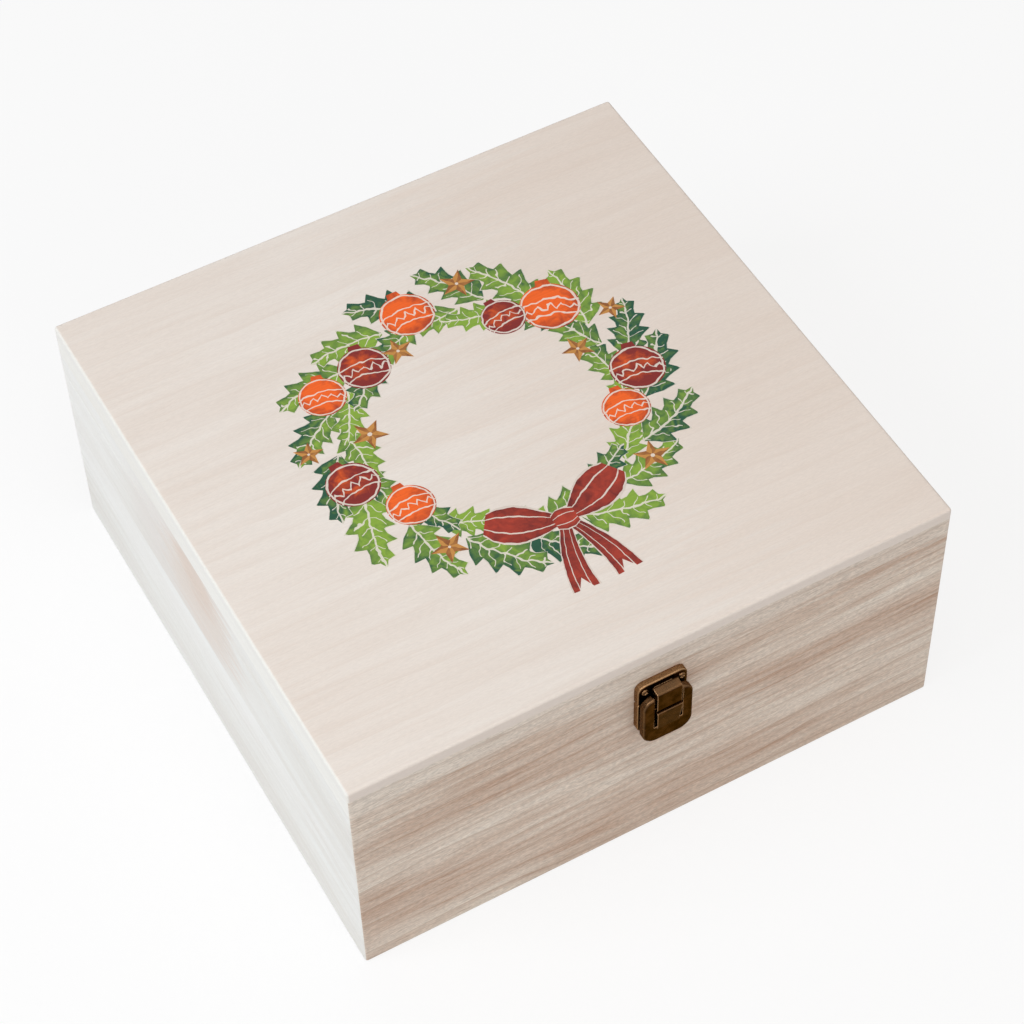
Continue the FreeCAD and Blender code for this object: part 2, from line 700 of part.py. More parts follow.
def make_link():
    """The link: a folded channel with a rolled foot on its pin and a hook over the catch."""
    body = new_body("latch_link")
    side = new_sketch(body, "Side", "YZ_Plane")
    side_points = [
        ("-link_front", "-link_pivot_drop"),
        ("-link_front", "link_shoulder_rise"),
        ("-link_nose", "link_roof_rise"),
        ("-link_nose", "link_nose_rise"),
        ("-link_flange", "link_flange_rise"),
        ("-link_flange", "-link_pivot_drop"),
    ]
    draw_polygon(side, side_points)
    link = add_pad(body, "Channel", side, "link_width", symmetric=True)

    def on_bend(point):
        return abs(point.x) < MATCH and point.z > length_of("link_shoulder_rise") - MATCH

    link = add_round(body, "BendRound", link, "link_bend_round", on_bend)
    inside = new_sketch(body, "Inside", "YZ_Plane")
    inside_low = ("-link_pivot_drop", "-cut_overrun")
    inside_points = [
        ("-link_back", inside_low),
        ("-link_back", "link_roof_low_front"),
        ("-link_nose_front", "link_roof_low_back"),
        ("-link_nose_front", inside_low),
    ]
    draw_polygon(inside, inside_points)
    add_pocket(body, "InsidePocket", inside, "link_inside_width", symmetric=True)
    foot = new_sketch(body, "Foot", "YZ_Plane")
    draw_circle(foot, ("-link_pivot_reach", "-link_pivot_drop"), "link_barrel_radius")
    add_pad(body, "FootPad", foot, "link_width", symmetric=True)
    bore_pin_hole(body, "link_pivot_reach", "-link_pivot_drop", "link_bore_radius")
    seat_hardware(body, "front")


def mirrored_pair(across, up):
    """Two points on either side of the middle."""
    return [(f"-{across}", up), (across, up)]


def above_seam(centres):
    """Points that were measured from the seam, measured from the underside of the box."""
    return [(across, ("base_height", up)) for across, up in centres]


def write_subparts():
    """Check every object of the document, then write each sub-part to its own file."""
    doc.recompute()
    for item in doc.Objects:
        if "Invalid" in item.State or "Error" in item.State:
            raise RuntimeError(f"{item.Label} failed: {item.State}")
    for piece in subparts:
        if piece.Shape.isNull() or not piece.Shape.isValid():
            raise RuntimeError(f"{piece.Label} has no valid shape")
    os.makedirs("parts", exist_ok=True)
    for piece in subparts:
        piece.Shape.exportStep(f"parts/{piece.Label}.step")


STRIKE_SCREWS = mirrored_pair("latch_screw_half", "strike_screw_rise")
ANCHOR_SCREWS = mirrored_pair("latch_screw_half", "-anchor_screw_drop")
HINGE_LID_SCREWS = [
    centre
    for across in ("hinge_screw_far", "hinge_screw_near")
    for centre in mirrored_pair(across, "hinge_screw_drop")
]
HINGE_BASE_SCREWS = [(across, f"-{up}") for across, up in HINGE_LID_SCREWS]

# Each wall, a quarter turn on from the one before: its name, and the sizes that run along and across it
WALLS = (
    ("front", "width", "depth"),
    ("right", "depth", "width"),
    ("back", "width", "depth"),
    ("left", "depth", "width"),
)
WALL_TURNS = {wall_name: turns for turns, (wall_name, along, across) in enumerate(WALLS)}
BASE_HOLES = {"front": ANCHOR_SCREWS, "back": HINGE_BASE_SCREWS}
LID_HOLES = {"front": STRIKE_SCREWS, "back": HINGE_LID_SCREWS}
HINGES = (("left", "-hinge_half_spacing"), ("right", "hinge_half_spacing"))

for wall_name, along, across in WALLS:
    turns = WALL_TURNS[wall_name]
    make_base_wall(f"base_{wall_name}_wall", turns, along, across, above_seam(BASE_HOLES.get(wall_name, [])))
    make_lid_rail(f"lid_{wall_name}_rail", turns, along, across, above_seam(LID_HOLES.get(wall_name, [])))
make_floor_panel()
make_top_panel()
for hinge_name, across in HINGES:
    make_hinge_leaf(f"hinge_{hinge_name}_base_leaf", across, is_lid=False)
    make_hinge_leaf(f"hinge_{hinge_name}_lid_leaf", across, is_lid=True)
    pin_name = f"hinge_{hinge_name}_pin"
    make_pin(pin_name, "hinge_pin_radius", "hinge_pin_length", "hinge_axis_reach", 0, "back", across)
make_screws("hinge_base_screws", "back", "leaf_thickness", HINGE_BASE_SCREWS)
make_screws("hinge_lid_screws", "back", "leaf_thickness", HINGE_LID_SCREWS)
make_strike_plate()
make_screws("latch_strike_screws", "front", "plate_depth", STRIKE_SCREWS)
make_anchor_plate()
make_screws("latch_anchor_screws", "front", "plate_depth", ANCHOR_SCREWS)
make_lever()
make_pin("latch_lever_pin", "lever_pin_radius", "lever_pin_length", "pivot_reach", "pivot_rise")
make_link()
make_pin("latch_link_pin", "link_pin_radius", "link_pin_length", "link_pivot_reach", "-link_pivot_drop")
write_subparts()
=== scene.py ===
"""Looks of a square wooden keepsake box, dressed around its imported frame.

Bare paulownia boards, an antiqued bronze draw latch and hinges, and a printed wreath on the lid.
Lengths are metres, angles are radians.
"""
import math
from functools import partial

import bmesh
import bpy
from bpy.props import FloatProperty, FloatVectorProperty, IntProperty, PointerProperty
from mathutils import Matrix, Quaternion, Vector


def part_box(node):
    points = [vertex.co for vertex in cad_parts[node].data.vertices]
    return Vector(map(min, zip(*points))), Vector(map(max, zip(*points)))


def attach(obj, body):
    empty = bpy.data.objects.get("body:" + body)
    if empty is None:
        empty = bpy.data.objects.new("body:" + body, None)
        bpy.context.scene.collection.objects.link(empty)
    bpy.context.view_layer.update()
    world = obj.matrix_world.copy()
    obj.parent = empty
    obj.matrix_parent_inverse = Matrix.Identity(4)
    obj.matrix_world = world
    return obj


bl_info = {
    "name": "Keepsake Box Looks",
    "version": (1, 0, 0),
    "blender": (4, 5, 0),
    "location": "View3D > Sidebar > Keepsake Box",
    "description": "Finishes a keepsake box's boards and hardware, prints its lid, sets its stage",
    "category": "Object",
}

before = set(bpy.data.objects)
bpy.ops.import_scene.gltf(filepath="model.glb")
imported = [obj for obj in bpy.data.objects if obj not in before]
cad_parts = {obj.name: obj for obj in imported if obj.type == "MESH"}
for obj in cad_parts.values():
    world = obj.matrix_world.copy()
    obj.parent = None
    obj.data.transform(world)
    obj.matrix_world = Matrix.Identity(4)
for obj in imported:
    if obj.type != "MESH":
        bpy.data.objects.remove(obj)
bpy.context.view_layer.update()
lid_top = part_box("lid_top_panel")[1].z


def linear(hex_colour):
    """An sRGB hex colour as linear red, green, blue and alpha."""
    channels = [int(hex_colour[start:start + 2], 16) / 255 for start in (1, 3, 5)]
    return (*((c / 12.92 if c <= 0.04045 else ((c + 0.055) / 1.055) ** 2.4) for c in channels), 1)


def colour(name, description, hex_colour):
    """A colour that a user can change, with its default as a hex value."""
    return FloatVectorProperty(
        name=name, description=description, default=linear(hex_colour),
        subtype="COLOR", size=4, min=0, max=1,
    )


def length(name, description, default):
    """A length that a user can change."""
    return FloatProperty(
        name=name, description=description, default=default, precision=5, unit="LENGTH"
    )


def angle(name, description, degrees):
    """An angle that a user can change."""
    return FloatProperty(
        name=name, description=description, default=math.radians(degrees), subtype="ANGLE"
    )


def share(name, description, default):
    """A share, from 0 to 1 or somewhat over, that a user can change."""
    return FloatProperty(name=name, description=description, default=default, subtype="FACTOR")


class BoardSettings(bpy.types.PropertyGroup):
    """Grain of the boards."""

    ring_width: length("Ring width", "Usual width of a year's growth", 0.009)
    band_width: length("Band width", "Width of a broad band of several years", 0.024)
    band_length: length("Band length", "Length over which a broad band changes", 0.25)
    streak_width: length("Streak width", "Width of a soft streak along the grain", 0.0026)
    streak_length: length("Streak length", "Length of a soft streak along the grain", 0.05)
    # Real pores and fibres are too fine to show here, so both are drawn coarser
    line_width: length("Line width", "Width of a line of pores, coarse enough to show", 0.0007)
    line_length: length("Line length", "Length of a fine line of pores", 0.03)
    fibre_width: length("Fibre width", "Width of a wood fibre, coarse enough to show", 0.0006)
    fibre_length: length("Fibre length", "Length of a wood fibre", 0.0022)
    sway_length: length("Sway length", "Length over which the grain swings to and fro", 0.3)
    sway_breadth: length("Sway breadth", "Breadth over which the grain swings together", 0.1)
    sway_width: length("Sway width", "How far the grain swings", 0.003)
    relief: length("Relief", "Height of the fibres left by sanding", 0.00002)
    roughness: share("Roughness", "Roughness of sanded bare wood", 0.6)


class BronzeSettings(bpy.types.PropertyGroup):
    """Antiqued bronze of the latch and the hinges."""

    patina: colour("Patina", "Dark brown of the antiqued metal", "#2A1708")
    tarnish: colour("Tarnish", "Warmer brown where the patina is thin", "#4A2D14")
    # The bright colour is the bare metal of worn edges and also the colour of the painted highlight
    bright: colour("Bright", "Bare metal where an edge is rubbed", "#C49A70")
    grime: colour("Grime", "Blackened metal in corners and recesses", "#0C0603")
    sheen: colour("Sheen", "Tint of the metal's reflection at a flat angle", "#CEC3B8")
    # Also how far the painted highlight on an edge reaches in, and the radius of the edges' rounded
    # shading
    edge_round_width: length("Rub width", "How far wear reaches in from an edge", 0.0006)
    grime_width: length("Grime width", "How far grime reaches out of a corner", 0.0008)
    blotch_width: length("Blotch width", "Size of the patina's blotches", 0.004)
    # Real specks are too fine to show here, so they are drawn coarser
    speck_width: length("Speck width", "Size of the patina's fine specks", 0.0007)
    relief: length("Relief", "Height of the patina's fine specks", 0.00001)
    relief_share: share("Relief share", "How strongly the specks' height shows", 0.35)
    smoothest: share("Smoothest", "Roughness of the metal where it is smoothest", 0.22)
    dullest: share("Dullest", "Roughness of the metal where it is dullest", 0.34)


class PrintSettings(bpy.types.PropertyGroup):
    """Wreath printed on the lid."""

    ring_radius: length("Ring radius", "From the wreath's middle to its leaves' feet", 0.069)
    leaf_length: length("Leaf length", "Length of a holly leaf", 0.040)
    leaf_width: length("Leaf width", "Width of a holly leaf from spine to spine", 0.023)
    leaf_count: IntProperty(name="Leaves", description="Number of leaves", default=34, min=2)
    bauble_radius: length("Bauble radius", "Radius of a usual bauble", 0.0125)
    star_radius: length("Star radius", "From a star's middle to its points", 0.009)
    loop_length: length("Loop length", "Length of one loop of the bow", 0.036)
    tail_length: length("Tail length", "Length of one tail of the bow", 0.040)
    wash_width: length("Wash width", "Size of the blotches in the brushed colour", 0.006)
    wash_share: share("Wash share", "How strongly the blotches change the colour", 1.9)
    pool_share: share("Pool share", "How strongly colour darkens at a motif's edge", 0.4)
    waver_width: length("Waver width", "Distance between bends of a hand-drawn line", 0.005)
    waver_share: share("Waver share", "How far a line bends, as a share of its motif", 0.05)
    ink_height: length("Ink height", "Height of the lowest ink, drawn thick to hold", 0.00003)
    ink_step: length("Ink step", "Step from one layer of ink to the next", 0.00001)
    ink_depth: length("Ink depth", "Thickness of ink with its bite into the wood", 0.00016)
    grain_width: length("Grain width", "Width of the grain that shows through", 0.0008)
    grain_length: length("Grain length", "Length of the grain that shows through", 0.03)
    line_cover: share("Line cover", "How far a drawn line hides the colour below", 0.8)
    roughness: share("Roughness", "Roughness of the matt ink", 0.58)
    leaf_dark: colour("Dark leaf", "Deep bluish green", "#114A33")
    leaf_light: colour("Light leaf", "Yellowish green", "#86A83A")
    orange: colour("Orange", "Orange of the baubles", "#F4651A")
    red: colour("Red", "Dark red of the baubles", "#7E1D18")
    ribbon_dark: colour("Dark ribbon", "Deep red in the ribbon's folds", "#64130F")
    ribbon_light: colour("Light ribbon", "Brick red on the ribbon's crowns", "#AE3A26")
    gold: colour("Gold", "Light brown of the stars", "#C58A45")
    brown: colour("Brown", "Dark brown of the stars", "#8A5226")
    pale: colour("Pale line", "Pale line drawn on each motif", "#EFE6DA")


class StageSettings(bpy.types.PropertyGroup):
    """Camera, light and floor."""

    aim: FloatVectorProperty(
        name="Aim", description="Point that the camera looks at", subtype="XYZ", unit="LENGTH",
        default=(-0.0186, -0.0541, lid_top),
    )
    distance: length("Distance", "From the aim to the camera", 1.289)
    azimuth: angle("Azimuth", "Camera's turn about the box, from the front", -27.66)
    elevation: angle("Elevation", "Camera's height above the horizon", 51.57)
    roll: angle("Roll", "Camera's turn about its own line of sight", -1.905)
    focal_length: FloatProperty(
        name="Lens", description="Focal length in millimetres", default=102.68
    )
    floor_size: length("Floor size", "Side of the square floor", 12)
    floor_glow: share("Floor glow", "How far the floor shows as plain white", 0.8)
    sky_fill: share("Sky fill", "Strength of the even light from all round", 0.42)
    paper: colour("Paper", "Matt white of the floor", "#F4F4F4")
    white: colour("White", "White of the background", "#FFFFFF")


class KeepsakeBoxSettings(bpy.types.PropertyGroup):
    """All settings of the box and its stage."""

    boards: PointerProperty(type=BoardSettings)
    bronze: PointerProperty(type=BronzeSettings)
    lid_print: PointerProperty(type=PrintSettings)
    stage: PointerProperty(type=StageSettings)


# Heights of the glue lines of the left side, and the heights between which a patch of wood may lie
GLUE_LINES = (0.066, 0.119)
LOWER_STRIP, MIDDLE_STRIP, UPPER_STRIP = zip((0.0, *GLUE_LINES), (*GLUE_LINES, 1.0))
ANY_HEIGHT = (0.0, 1.0)

# Each board: its nodes, the turn in degrees that lays its grain along X, the place of the log's
# heart from the box's middle, the lean of the log in degrees, its colours from pale to dark, its
# pore lines, and the shares with which its bands, rings, streaks, lines and fibres show. A board
# may have colours of its own on its edges and on its left end, whose colour is painted pale to
# stand for the window light from the left, glue lines between its strips, and patches of paler or
# darker colour: colour, the share with which it shows, middle, half sizes along X, Y and Z, and
# the heights between which it lies.
BOARDS = {
    "front": {
        "nodes": ("base_front_wall", "lid_front_rail"),
        "turn": 0,
        "heart": (0.0, 0.21, 0.03),
        "lean": (0.0, 0.9, 0.4),
        "pale": "#DED4C8",
        "dark": "#A67A5B",
        "line": "#83593A",
        "shares": (0.4, 0.15, 0.24, 0.4, 0.17),
        "patches": (
            ("#DCD4CA", 0.55, (0.0, -0.15, 0.131), (0.5, 0.05, 0.016), ANY_HEIGHT),
        ),
    },
    "back": {
        "nodes": ("base_back_wall", "lid_back_rail"),
        "turn": 0,
        "heart": (0.4, -0.22, 0.035),
        "lean": (0.0, -1.0, 0.8),
        "pale": "#E2D7C9",
        "dark": "#B38F74",
        "line": "#8F694B",
        "shares": (0.45, 0.15, 0.24, 0.4, 0.15),
    },
    # Painted light: this side is painted near white to stand for the strong window light from the
    # left; its pinkish patches are the heartwood's flame.
    "left": {
        "nodes": ("base_left_wall", "lid_left_rail"),
        "turn": 90,
        "heart": (0.0, -0.05, -0.25),
        "lean": (0.0, 0.8, 0.6),
        "pale": "#EFEFEB",
        "dark": "#D5CEC4",
        "line": "#CBBFB3",
        "shares": (0.35, 0.07, 0.1, 0.12, 0.035),
        "glue_lines": GLUE_LINES,
        "patches": (
            ("#F3F1EA", 0.6, (-0.15, 0.0, 0.13), (1.0, 1.0, 1.0), UPPER_STRIP),
            ("#F4F3F0", 0.45, (-0.15, 0.08, 0.06), (0.1, 0.22, 0.022), LOWER_STRIP),
            ("#F1F0EC", 0.5, (-0.15, 0.16, 0.0925), (0.1, 0.09, 0.1), MIDDLE_STRIP),
            ("#E3DCD6", 0.6, (-0.15, 0.02, 0.0925), (0.1, 0.058, 0.05), MIDDLE_STRIP),
            ("#DFCFC1", 0.5, (-0.15, 0.002, 0.0965), (0.1, 0.036, 0.034), MIDDLE_STRIP),
            ("#D6BBA8", 0.35, (-0.15, 0.002, 0.11), (0.1, 0.02, 0.02), MIDDLE_STRIP),
        ),
    },
    "right": {
        "nodes": ("base_right_wall", "lid_right_rail"),
        "turn": 90,
        "heart": (0.0, -0.16, 0.06),
        "lean": (0.0, -1.0, 1.4),
        "pale": "#E9E1D6",
        "dark": "#C0A38B",
        "line": "#9A7657",
        "shares": (0.45, 0.15, 0.24, 0.4, 0.12),
    },
    "top": {
        "nodes": ("lid_top_panel",),
        "turn": 0,
        "heart": (0.0, -0.36, 0.05),
        "lean": (0.0, 0.3, 0.5),
        "pale": "#EEE6DE",
        "dark": "#DCCABC",
        "line": "#CDB6A4",
        "shares": (0.25, 0.07, 0.12, 0.12, 0.03),
        "edges": "#DED4CC",
        # Painted light: the left end is painted as pale as the lit left side
        "lit_left_end": "#EDEBE5",
        "patches": (
            ("#E3CFC0", 0.35, (0.16, -0.02, 0.136), (0.16, 0.3, 0.05), ANY_HEIGHT),
        ),
    },
    "floor": {
        "nodes": ("base_floor_panel",),
        "turn": 0,
        "heart": (0.0, 0.02, -0.18),
        "lean": (0.0, 0.6, -1.0),
        "pale": "#E6D8C2",
        "dark": "#C2A37C",
        "line": "#A07E55",
        "shares": (0.5, 0.18, 0.3, 0.35, 0.1),
    },
}
# How far the broad bands crowd or spread the years, in years
YEAR_SPREAD = 1.6
# Distance along the log from one strip of a glued board to the next
STRIP_SHIFT = 0.37
# How far the streaks fray a patch's outline, as a share of its half size
PATCH_FRAY = 1.6
# Refraction of wood fibres and of the ink's binder
WOOD_IOR = 1.45
INK_IOR = 1.45

# Levels from which to which a value brings in its share of the wood's look
BAND_RANGE = (0.34, 0.66)
STREAK_RANGE = (0.36, 0.68)
PALE_LINE_RANGE = (0.4, 0.2)
DARK_LINE_RANGE = (0.6, 0.76)
LATE_PORE_RANGE = (0.9, 0.985)
DOT_RANGE = (0.4, 0.6)
FIBRE_RANGE = (0.3, 0.7)
PATCH_RANGE = (1.95, 1.45)
EDGE_RANGE = (0.95, 0.4)
LIT_LEFT_END_RANGE = (-0.1, -0.6)

# Levels from which to which a value brings in its share of the metal's look
TARNISH_RANGE = (0.35, 0.75)
GRIME_RANGE = (0.9, 0.4)
# Edges: partly worn to bare metal, partly painted highlight where an edge catches the light
EDGE_WEAR_AND_HIGHLIGHT_RANGE = (0.995, 0.9)
# Faces that turn away from the front and back: painted highlight for the light they catch
TURNED_FACE_HIGHLIGHT_RANGE = (0.97, 0.6)
SPECKLED_WEAR_AND_HIGHLIGHT_RANGE = (0.3, 0.6)
SPECK_RANGE = (0.3, 0.7)
# Least share of the worn edges and painted highlight that is left between the specks
LEAST_WEAR_AND_HIGHLIGHT = 0.75
# Rays that look for edges and corners
EDGE_SAMPLES = 8

# Levels from which to which a value brings in its share of the ink's look
POOL_RANGE = (0.55, 1.0)
WASH_RANGE = (0.7, 1.75)
# Darkest and palest that the grain leaves the ink
INK_FADE = (0.93, 1.06)

# Bronze: its nodes, the share for its worn edges, partly painted highlight, and the share of
# painted highlight on faces turned from the front
BRONZES = {
    "hinge": ((
        "hinge_left_base_leaf", "hinge_left_lid_leaf", "hinge_left_pin",
        "hinge_right_base_leaf", "hinge_right_lid_leaf", "hinge_right_pin",
    ), 0.4, 0.1),
    "plate": (("latch_strike_plate", "latch_anchor_plate"), 0.5, 0.6),
    "latch": (("latch_lever", "latch_lever_pin", "latch_link", "latch_link_pin"), 0.75, 0.2),
    "screw": ((
        "hinge_base_screws", "hinge_lid_screws", "latch_strike_screws", "latch_anchor_screws",
    ), 0.7, 0.35),
}

# Half-way over a motif's chart or a spread
HALFWAY = 0.5
# Leaf, as shares of its chart: shade between its halves, half width of its midrib, then number,
# width, lean and end of its side veins, and start of its rim
LEAF_SHADE = 0.3
MIDRIB_HALF = 0.022
VEIN_COUNT = 7
VEIN_WIDTH = 0.1
VEIN_LEAN = -0.45
VEIN_END = 0.7
LEAF_RIM = 0.94
# Bauble, as shares of its chart: place of the light on its shoulder, fall and start of that light,
# bow, place and half width of its bands, step, slope, foot and half width of its zigzag, then place
# and half width of its rim
SHOULDER_WEST = 0.17
SHOULDER_NORTH = 0.2
LIGHT_FALL = -0.8
LIGHT_START = 0.22
BAND_BOW = 0.5
BAND_PLACE = 0.16
BAND_HALF = 0.016
ZIGZAG_STEP = 0.1
ZIGZAG_SLOPE = 1.2
ZIGZAG_FOOT = -0.06
ZIGZAG_HALF = 0.02
BAUBLE_RIM = 0.93
BAUBLE_RIM_HALF = 0.035
# Star: number of its points, the share of its radius between them, and its pale middle
STAR_POINTS = 5
STAR_WAIST = 0.42
STAR_MIDDLE = 0.1
# Ribbon: change of tone along it, tone at the knot, place and half width of its folds, and its rim
RIBBON_FALL = 0.5
RIBBON_START = -0.35
FOLD_PLACE = 0.42
FOLD_HALF = 0.035
RIBBON_RIM = 0.9

# Half width of a holly leaf from its foot to its tip, as shares of its greatest half width
LEAF_SHARES = (
    0.06, 0.30, 0.62, 0.98, 0.55, 0.66, 1.00, 0.52, 0.58, 0.86, 0.40, 0.38, 0.50, 0.16, 0.02,
)
# Spines: their columns, the share of the half width where one starts, and its reach in columns
SPINE_COLUMNS = (3, 6, 9, 12)
SPINE_START = 0.8
SPINE_REACH = 0.7
# Rows of leaves, outer and inner: bend and lean in degrees, step from the ring, size as a share
LEAF_ROWS = ((28, -34, 0.03, 1.0), (-28, 30, -0.03, 0.84))
# Leaves differ out of order, so that neighbours aren't alike: step and count of their leans in
# degrees, of their sizes, with the spread of these as a share, and of their tints, and step of
# their layers
LEAN_STEP, LEAN_COUNT = 37, 17
SIZE_STEP, SIZE_COUNT, SIZE_SPREAD = 5, 7, 0.16
TINT_STEP, TINT_COUNT = 3, 8
LAYER_STEP = 3

# Bauble: sides of its outline, then as shares of its radius its rim, start of its cap, how far the
# cap is drawn out and the height of its top, and last the cap's taper
BAUBLE_SIDES = 48
BAUBLE_INSET = 0.1
CAP_START = 0.96
CAP_REACH = 0.22
CAP_TOP = 1.2
CAP_TAPER = 0.8
# Baubles: bearing in degrees, step out from the ring as a share of its radius, size as a share,
# and tint
BAUBLES = (
    (38, 0.04, 1.15, 0.9), (55, -0.13, 0.85, 0.0), (93, 0.06, 1.05, 0.9), (124, -0.06, 1.0, 0.0),
    (142, 0.12, 0.9, 0.9), (184, 0.05, 1.0, 0.0), (207, -0.10, 0.9, 0.9), (334, -0.10, 0.9, 0.9),
    (353, 0.06, 1.05, 0.0),
)
# Step and count of the baubles' turns in degrees, out of order
TURN_STEP, TURN_COUNT = 23, 30
# Stars: bearing in degrees, step out from the ring as a share of its radius, size as a share, and
# turn in degrees
STARS = (
    (15, -0.18, 0.9, 10), (72, 0.20, 1.0, 40), (108, -0.16, 0.9, 0), (162, -0.20, 1.0, 25),
    (166, 0.22, 0.8, 50), (228, 0.12, 1.0, 15), (312, 0.12, 1.0, 55), (20, 0.24, 0.8, 30),
)

# Half width of a loop of the bow from the knot outwards, of a tail and of the knot, as shares
LOOP_SHARES = (0.16, 0.36, 0.58, 0.78, 0.93, 1.00, 0.97, 0.84, 0.56)
TAIL_SHARES = (0.34, 0.46, 0.58, 0.70, 0.80, 0.90, 1.00)
KNOT_SHARES = (0.7, 1, 1, 0.7)
# Widths of the bow's parts as shares of their lengths, and the knot's length as a share of a loop's
LOOP_WIDTH = 0.62
TAIL_WIDTH = 0.34
KNOT_WIDTH = 1.15
KNOT_LENGTH = 0.3
# Bends of the bow's parts and their turns from the level and the plumb line, in degrees
LOOP_BEND = 20
TAIL_BEND = -24
LOOP_LIFT = 14
TAIL_SPREAD = 28
# Where the notch in a tail's end is cut from, and its depth, as shares of the tail
NOTCH_START = 0.95
NOTCH_DEPTH = 0.16
# Tints of the bow's parts
LOOP_TINT = 0.4
TAIL_TINT = 0.3
KNOT_TINT = 0.6
# Rows of faces across a leaf or loop, and across a tail or knot
WIDE_ROWS = 6
NARROW_ROWS = 4
# How near to its column or row a vertex counts as in it, as a share of the step between them
NEAR = 0.25

# Layers of ink: how many the leaves share, and the lowest of each other motif
LEAF_LAYERS = 7
BAUBLE_LAYER = 7
TAIL_LAYER = 8
STAR_LAYER = 9
LOOP_LAYER = 10
KNOT_LAYER = 13

# Soft boxes: name, azimuth and height in degrees, distance, side, power in watts, colour
LAMPS = (
    ("window_lamp", -92, 40, 1.9, 1.0, 15, "#F2F7FF"),
    ("glint_lamp", -50, 50, 1.9, 0.25, 1.5, "#FFFFFF"),
    ("top_lamp", -10, 75, 2.6, 1.6, 14, "#FFFAF2"),
    ("front_lamp", 0, 25, 2.6, 1.2, 10, "#FFF5EA"),
)


def add_node(tree, kind, *feeds, **settings):
    """Add a node with its settings and links.

    Feeds go to its inputs in order, or by name where they come as a dictionary. Each is a constant,
    an output, or a node, which stands for its first output.
    """
    made = tree.nodes.new(f"ShaderNode{kind}")
    for setting, value in settings.items():
        setattr(made, setting, value)
    sockets = [socket for socket in made.inputs if socket.enabled]
    if feeds and isinstance(feeds[0], dict):
        named = {socket.name: socket for socket in sockets}
        pairs = [(named[name], source) for name, source in feeds[0].items()]
    else:
        pairs = zip(sockets, feeds)
    for socket, source in pairs:
        if isinstance(source, bpy.types.Node):
            source = next(output for output in source.outputs if output.enabled)
        if isinstance(source, bpy.types.NodeSocket):
            tree.links.new(source, socket)
        else:
            socket.default_value = source
    return made


def empty_tree(owner):
    """Clear a material's or a world's nodes, and give the function that adds a node there."""
    owner.use_nodes = True
    owner.node_tree.nodes.clear()
    return partial(add_node, owner.node_tree)


def assign(nodes, material):
    """Give CAD nodes one material."""
    for name in nodes:
        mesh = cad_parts[name].data
        mesh.materials.clear()
        mesh.materials.append(material)


def per_size(along, across):
    """Texture scale whose cells have a length along the grain and a width across it."""
    return (1 / along, 1 / across, 1 / across)


def grain_noise(add, grain, across, along):
    """A soft noise on a board's chart of distance from the heart and place along the log."""
    place = add("Mapping", {"Vector": grain, "Scale": (1 / across, 1 / along, 1)})
    return add("TexNoise", {
        "Vector": place, "Scale": 1, "Detail": 3, "Roughness": 0.6,
    }, noise_dimensions="2D")


def cut_from_log(add, place, height, board, settings):
    """A board's cut of its log: distance from the heart, chart of the grain, and fibres."""
    lean_x, lean_y, lean_z = (math.radians(degrees) for degrees in board["lean"])
    log = add("Mapping", {
        "Vector": place,
        "Location": board["heart"],
        "Rotation": (lean_x, lean_y, lean_z - math.radians(board["turn"])),
    })
    sway_place = add("Mapping", {
        "Vector": log, "Scale": per_size(settings.sway_length, settings.sway_breadth),
    })
    sway = add("TexNoise", {"Vector": sway_place, "Scale": 1, "Detail": 2}).outputs["Color"]
    both_ways = (2 * settings.sway_width,) * 3
    swung = add("VectorMath", sway, both_ways, log, operation="MULTIPLY_ADD")
    across = add("VectorMath", swung, (0, 1, 1), operation="MULTIPLY")
    radius = add("VectorMath", across, operation="LENGTH")
    along = add("SeparateXYZ", log).outputs["X"]
    for glue_line in board.get("glue_lines", ()):
        above = add("Math", height, glue_line, operation="GREATER_THAN")
        along = add("Math", above, STRIP_SHIFT, along, operation="MULTIPLY_ADD")
    fibre_place = add("Mapping", {
        "Vector": swung, "Scale": per_size(settings.fibre_length, settings.fibre_width),
    })
    fibres = add("TexNoise", {"Vector": fibre_place, "Scale": 1, "Detail": 2})
    return radius, add("CombineXYZ", radius, along), fibres


def add_patch(add, wood, place, height, streak, patch):
    """A patch of paler or darker colour whose outline frays along the grain, between two heights.
    """
    hex_colour, most, middle, half_sizes, (lowest, highest) = patch
    reach = add("Mapping", {
        "Vector": place,
        "Location": [-centre / half for centre, half in zip(middle, half_sizes)],
        "Scale": [1 / half for half in half_sizes],
    })
    away = add("VectorMath", reach, operation="LENGTH")
    frayed = add("Math", streak, PATCH_FRAY, away, operation="MULTIPLY_ADD")
    inside = add("MapRange", frayed, *PATCH_RANGE, 0, most)
    above = add("Math", height, lowest, operation="GREATER_THAN")
    below = add("Math", height, highest, operation="LESS_THAN")
    between = add("Math", above, below, operation="MULTIPLY")
    shown = add("Math", inside, between, operation="MULTIPLY")
    return add("Mix", shown, wood, linear(hex_colour), data_type="RGBA")


def add_sides(add, wood, normal, board):
    """The colours of a flat board's edges and of its left end, which is painted pale to stand for
    the window light from the left.
    """
    facing = add("SeparateXYZ", normal).outputs
    upright = add("Math", facing["Z"], operation="ABSOLUTE")
    edge = add("MapRange", upright, *EDGE_RANGE)
    edged = add("Mix", edge, wood, linear(board["edges"]), data_type="RGBA")
    # Painted light: faces turned to the left take the pale colour of the lit left end
    end = add("MapRange", facing["X"], *LIT_LEFT_END_RANGE)
    return add("Mix", end, edged, linear(board["lit_left_end"]), data_type="RGBA")


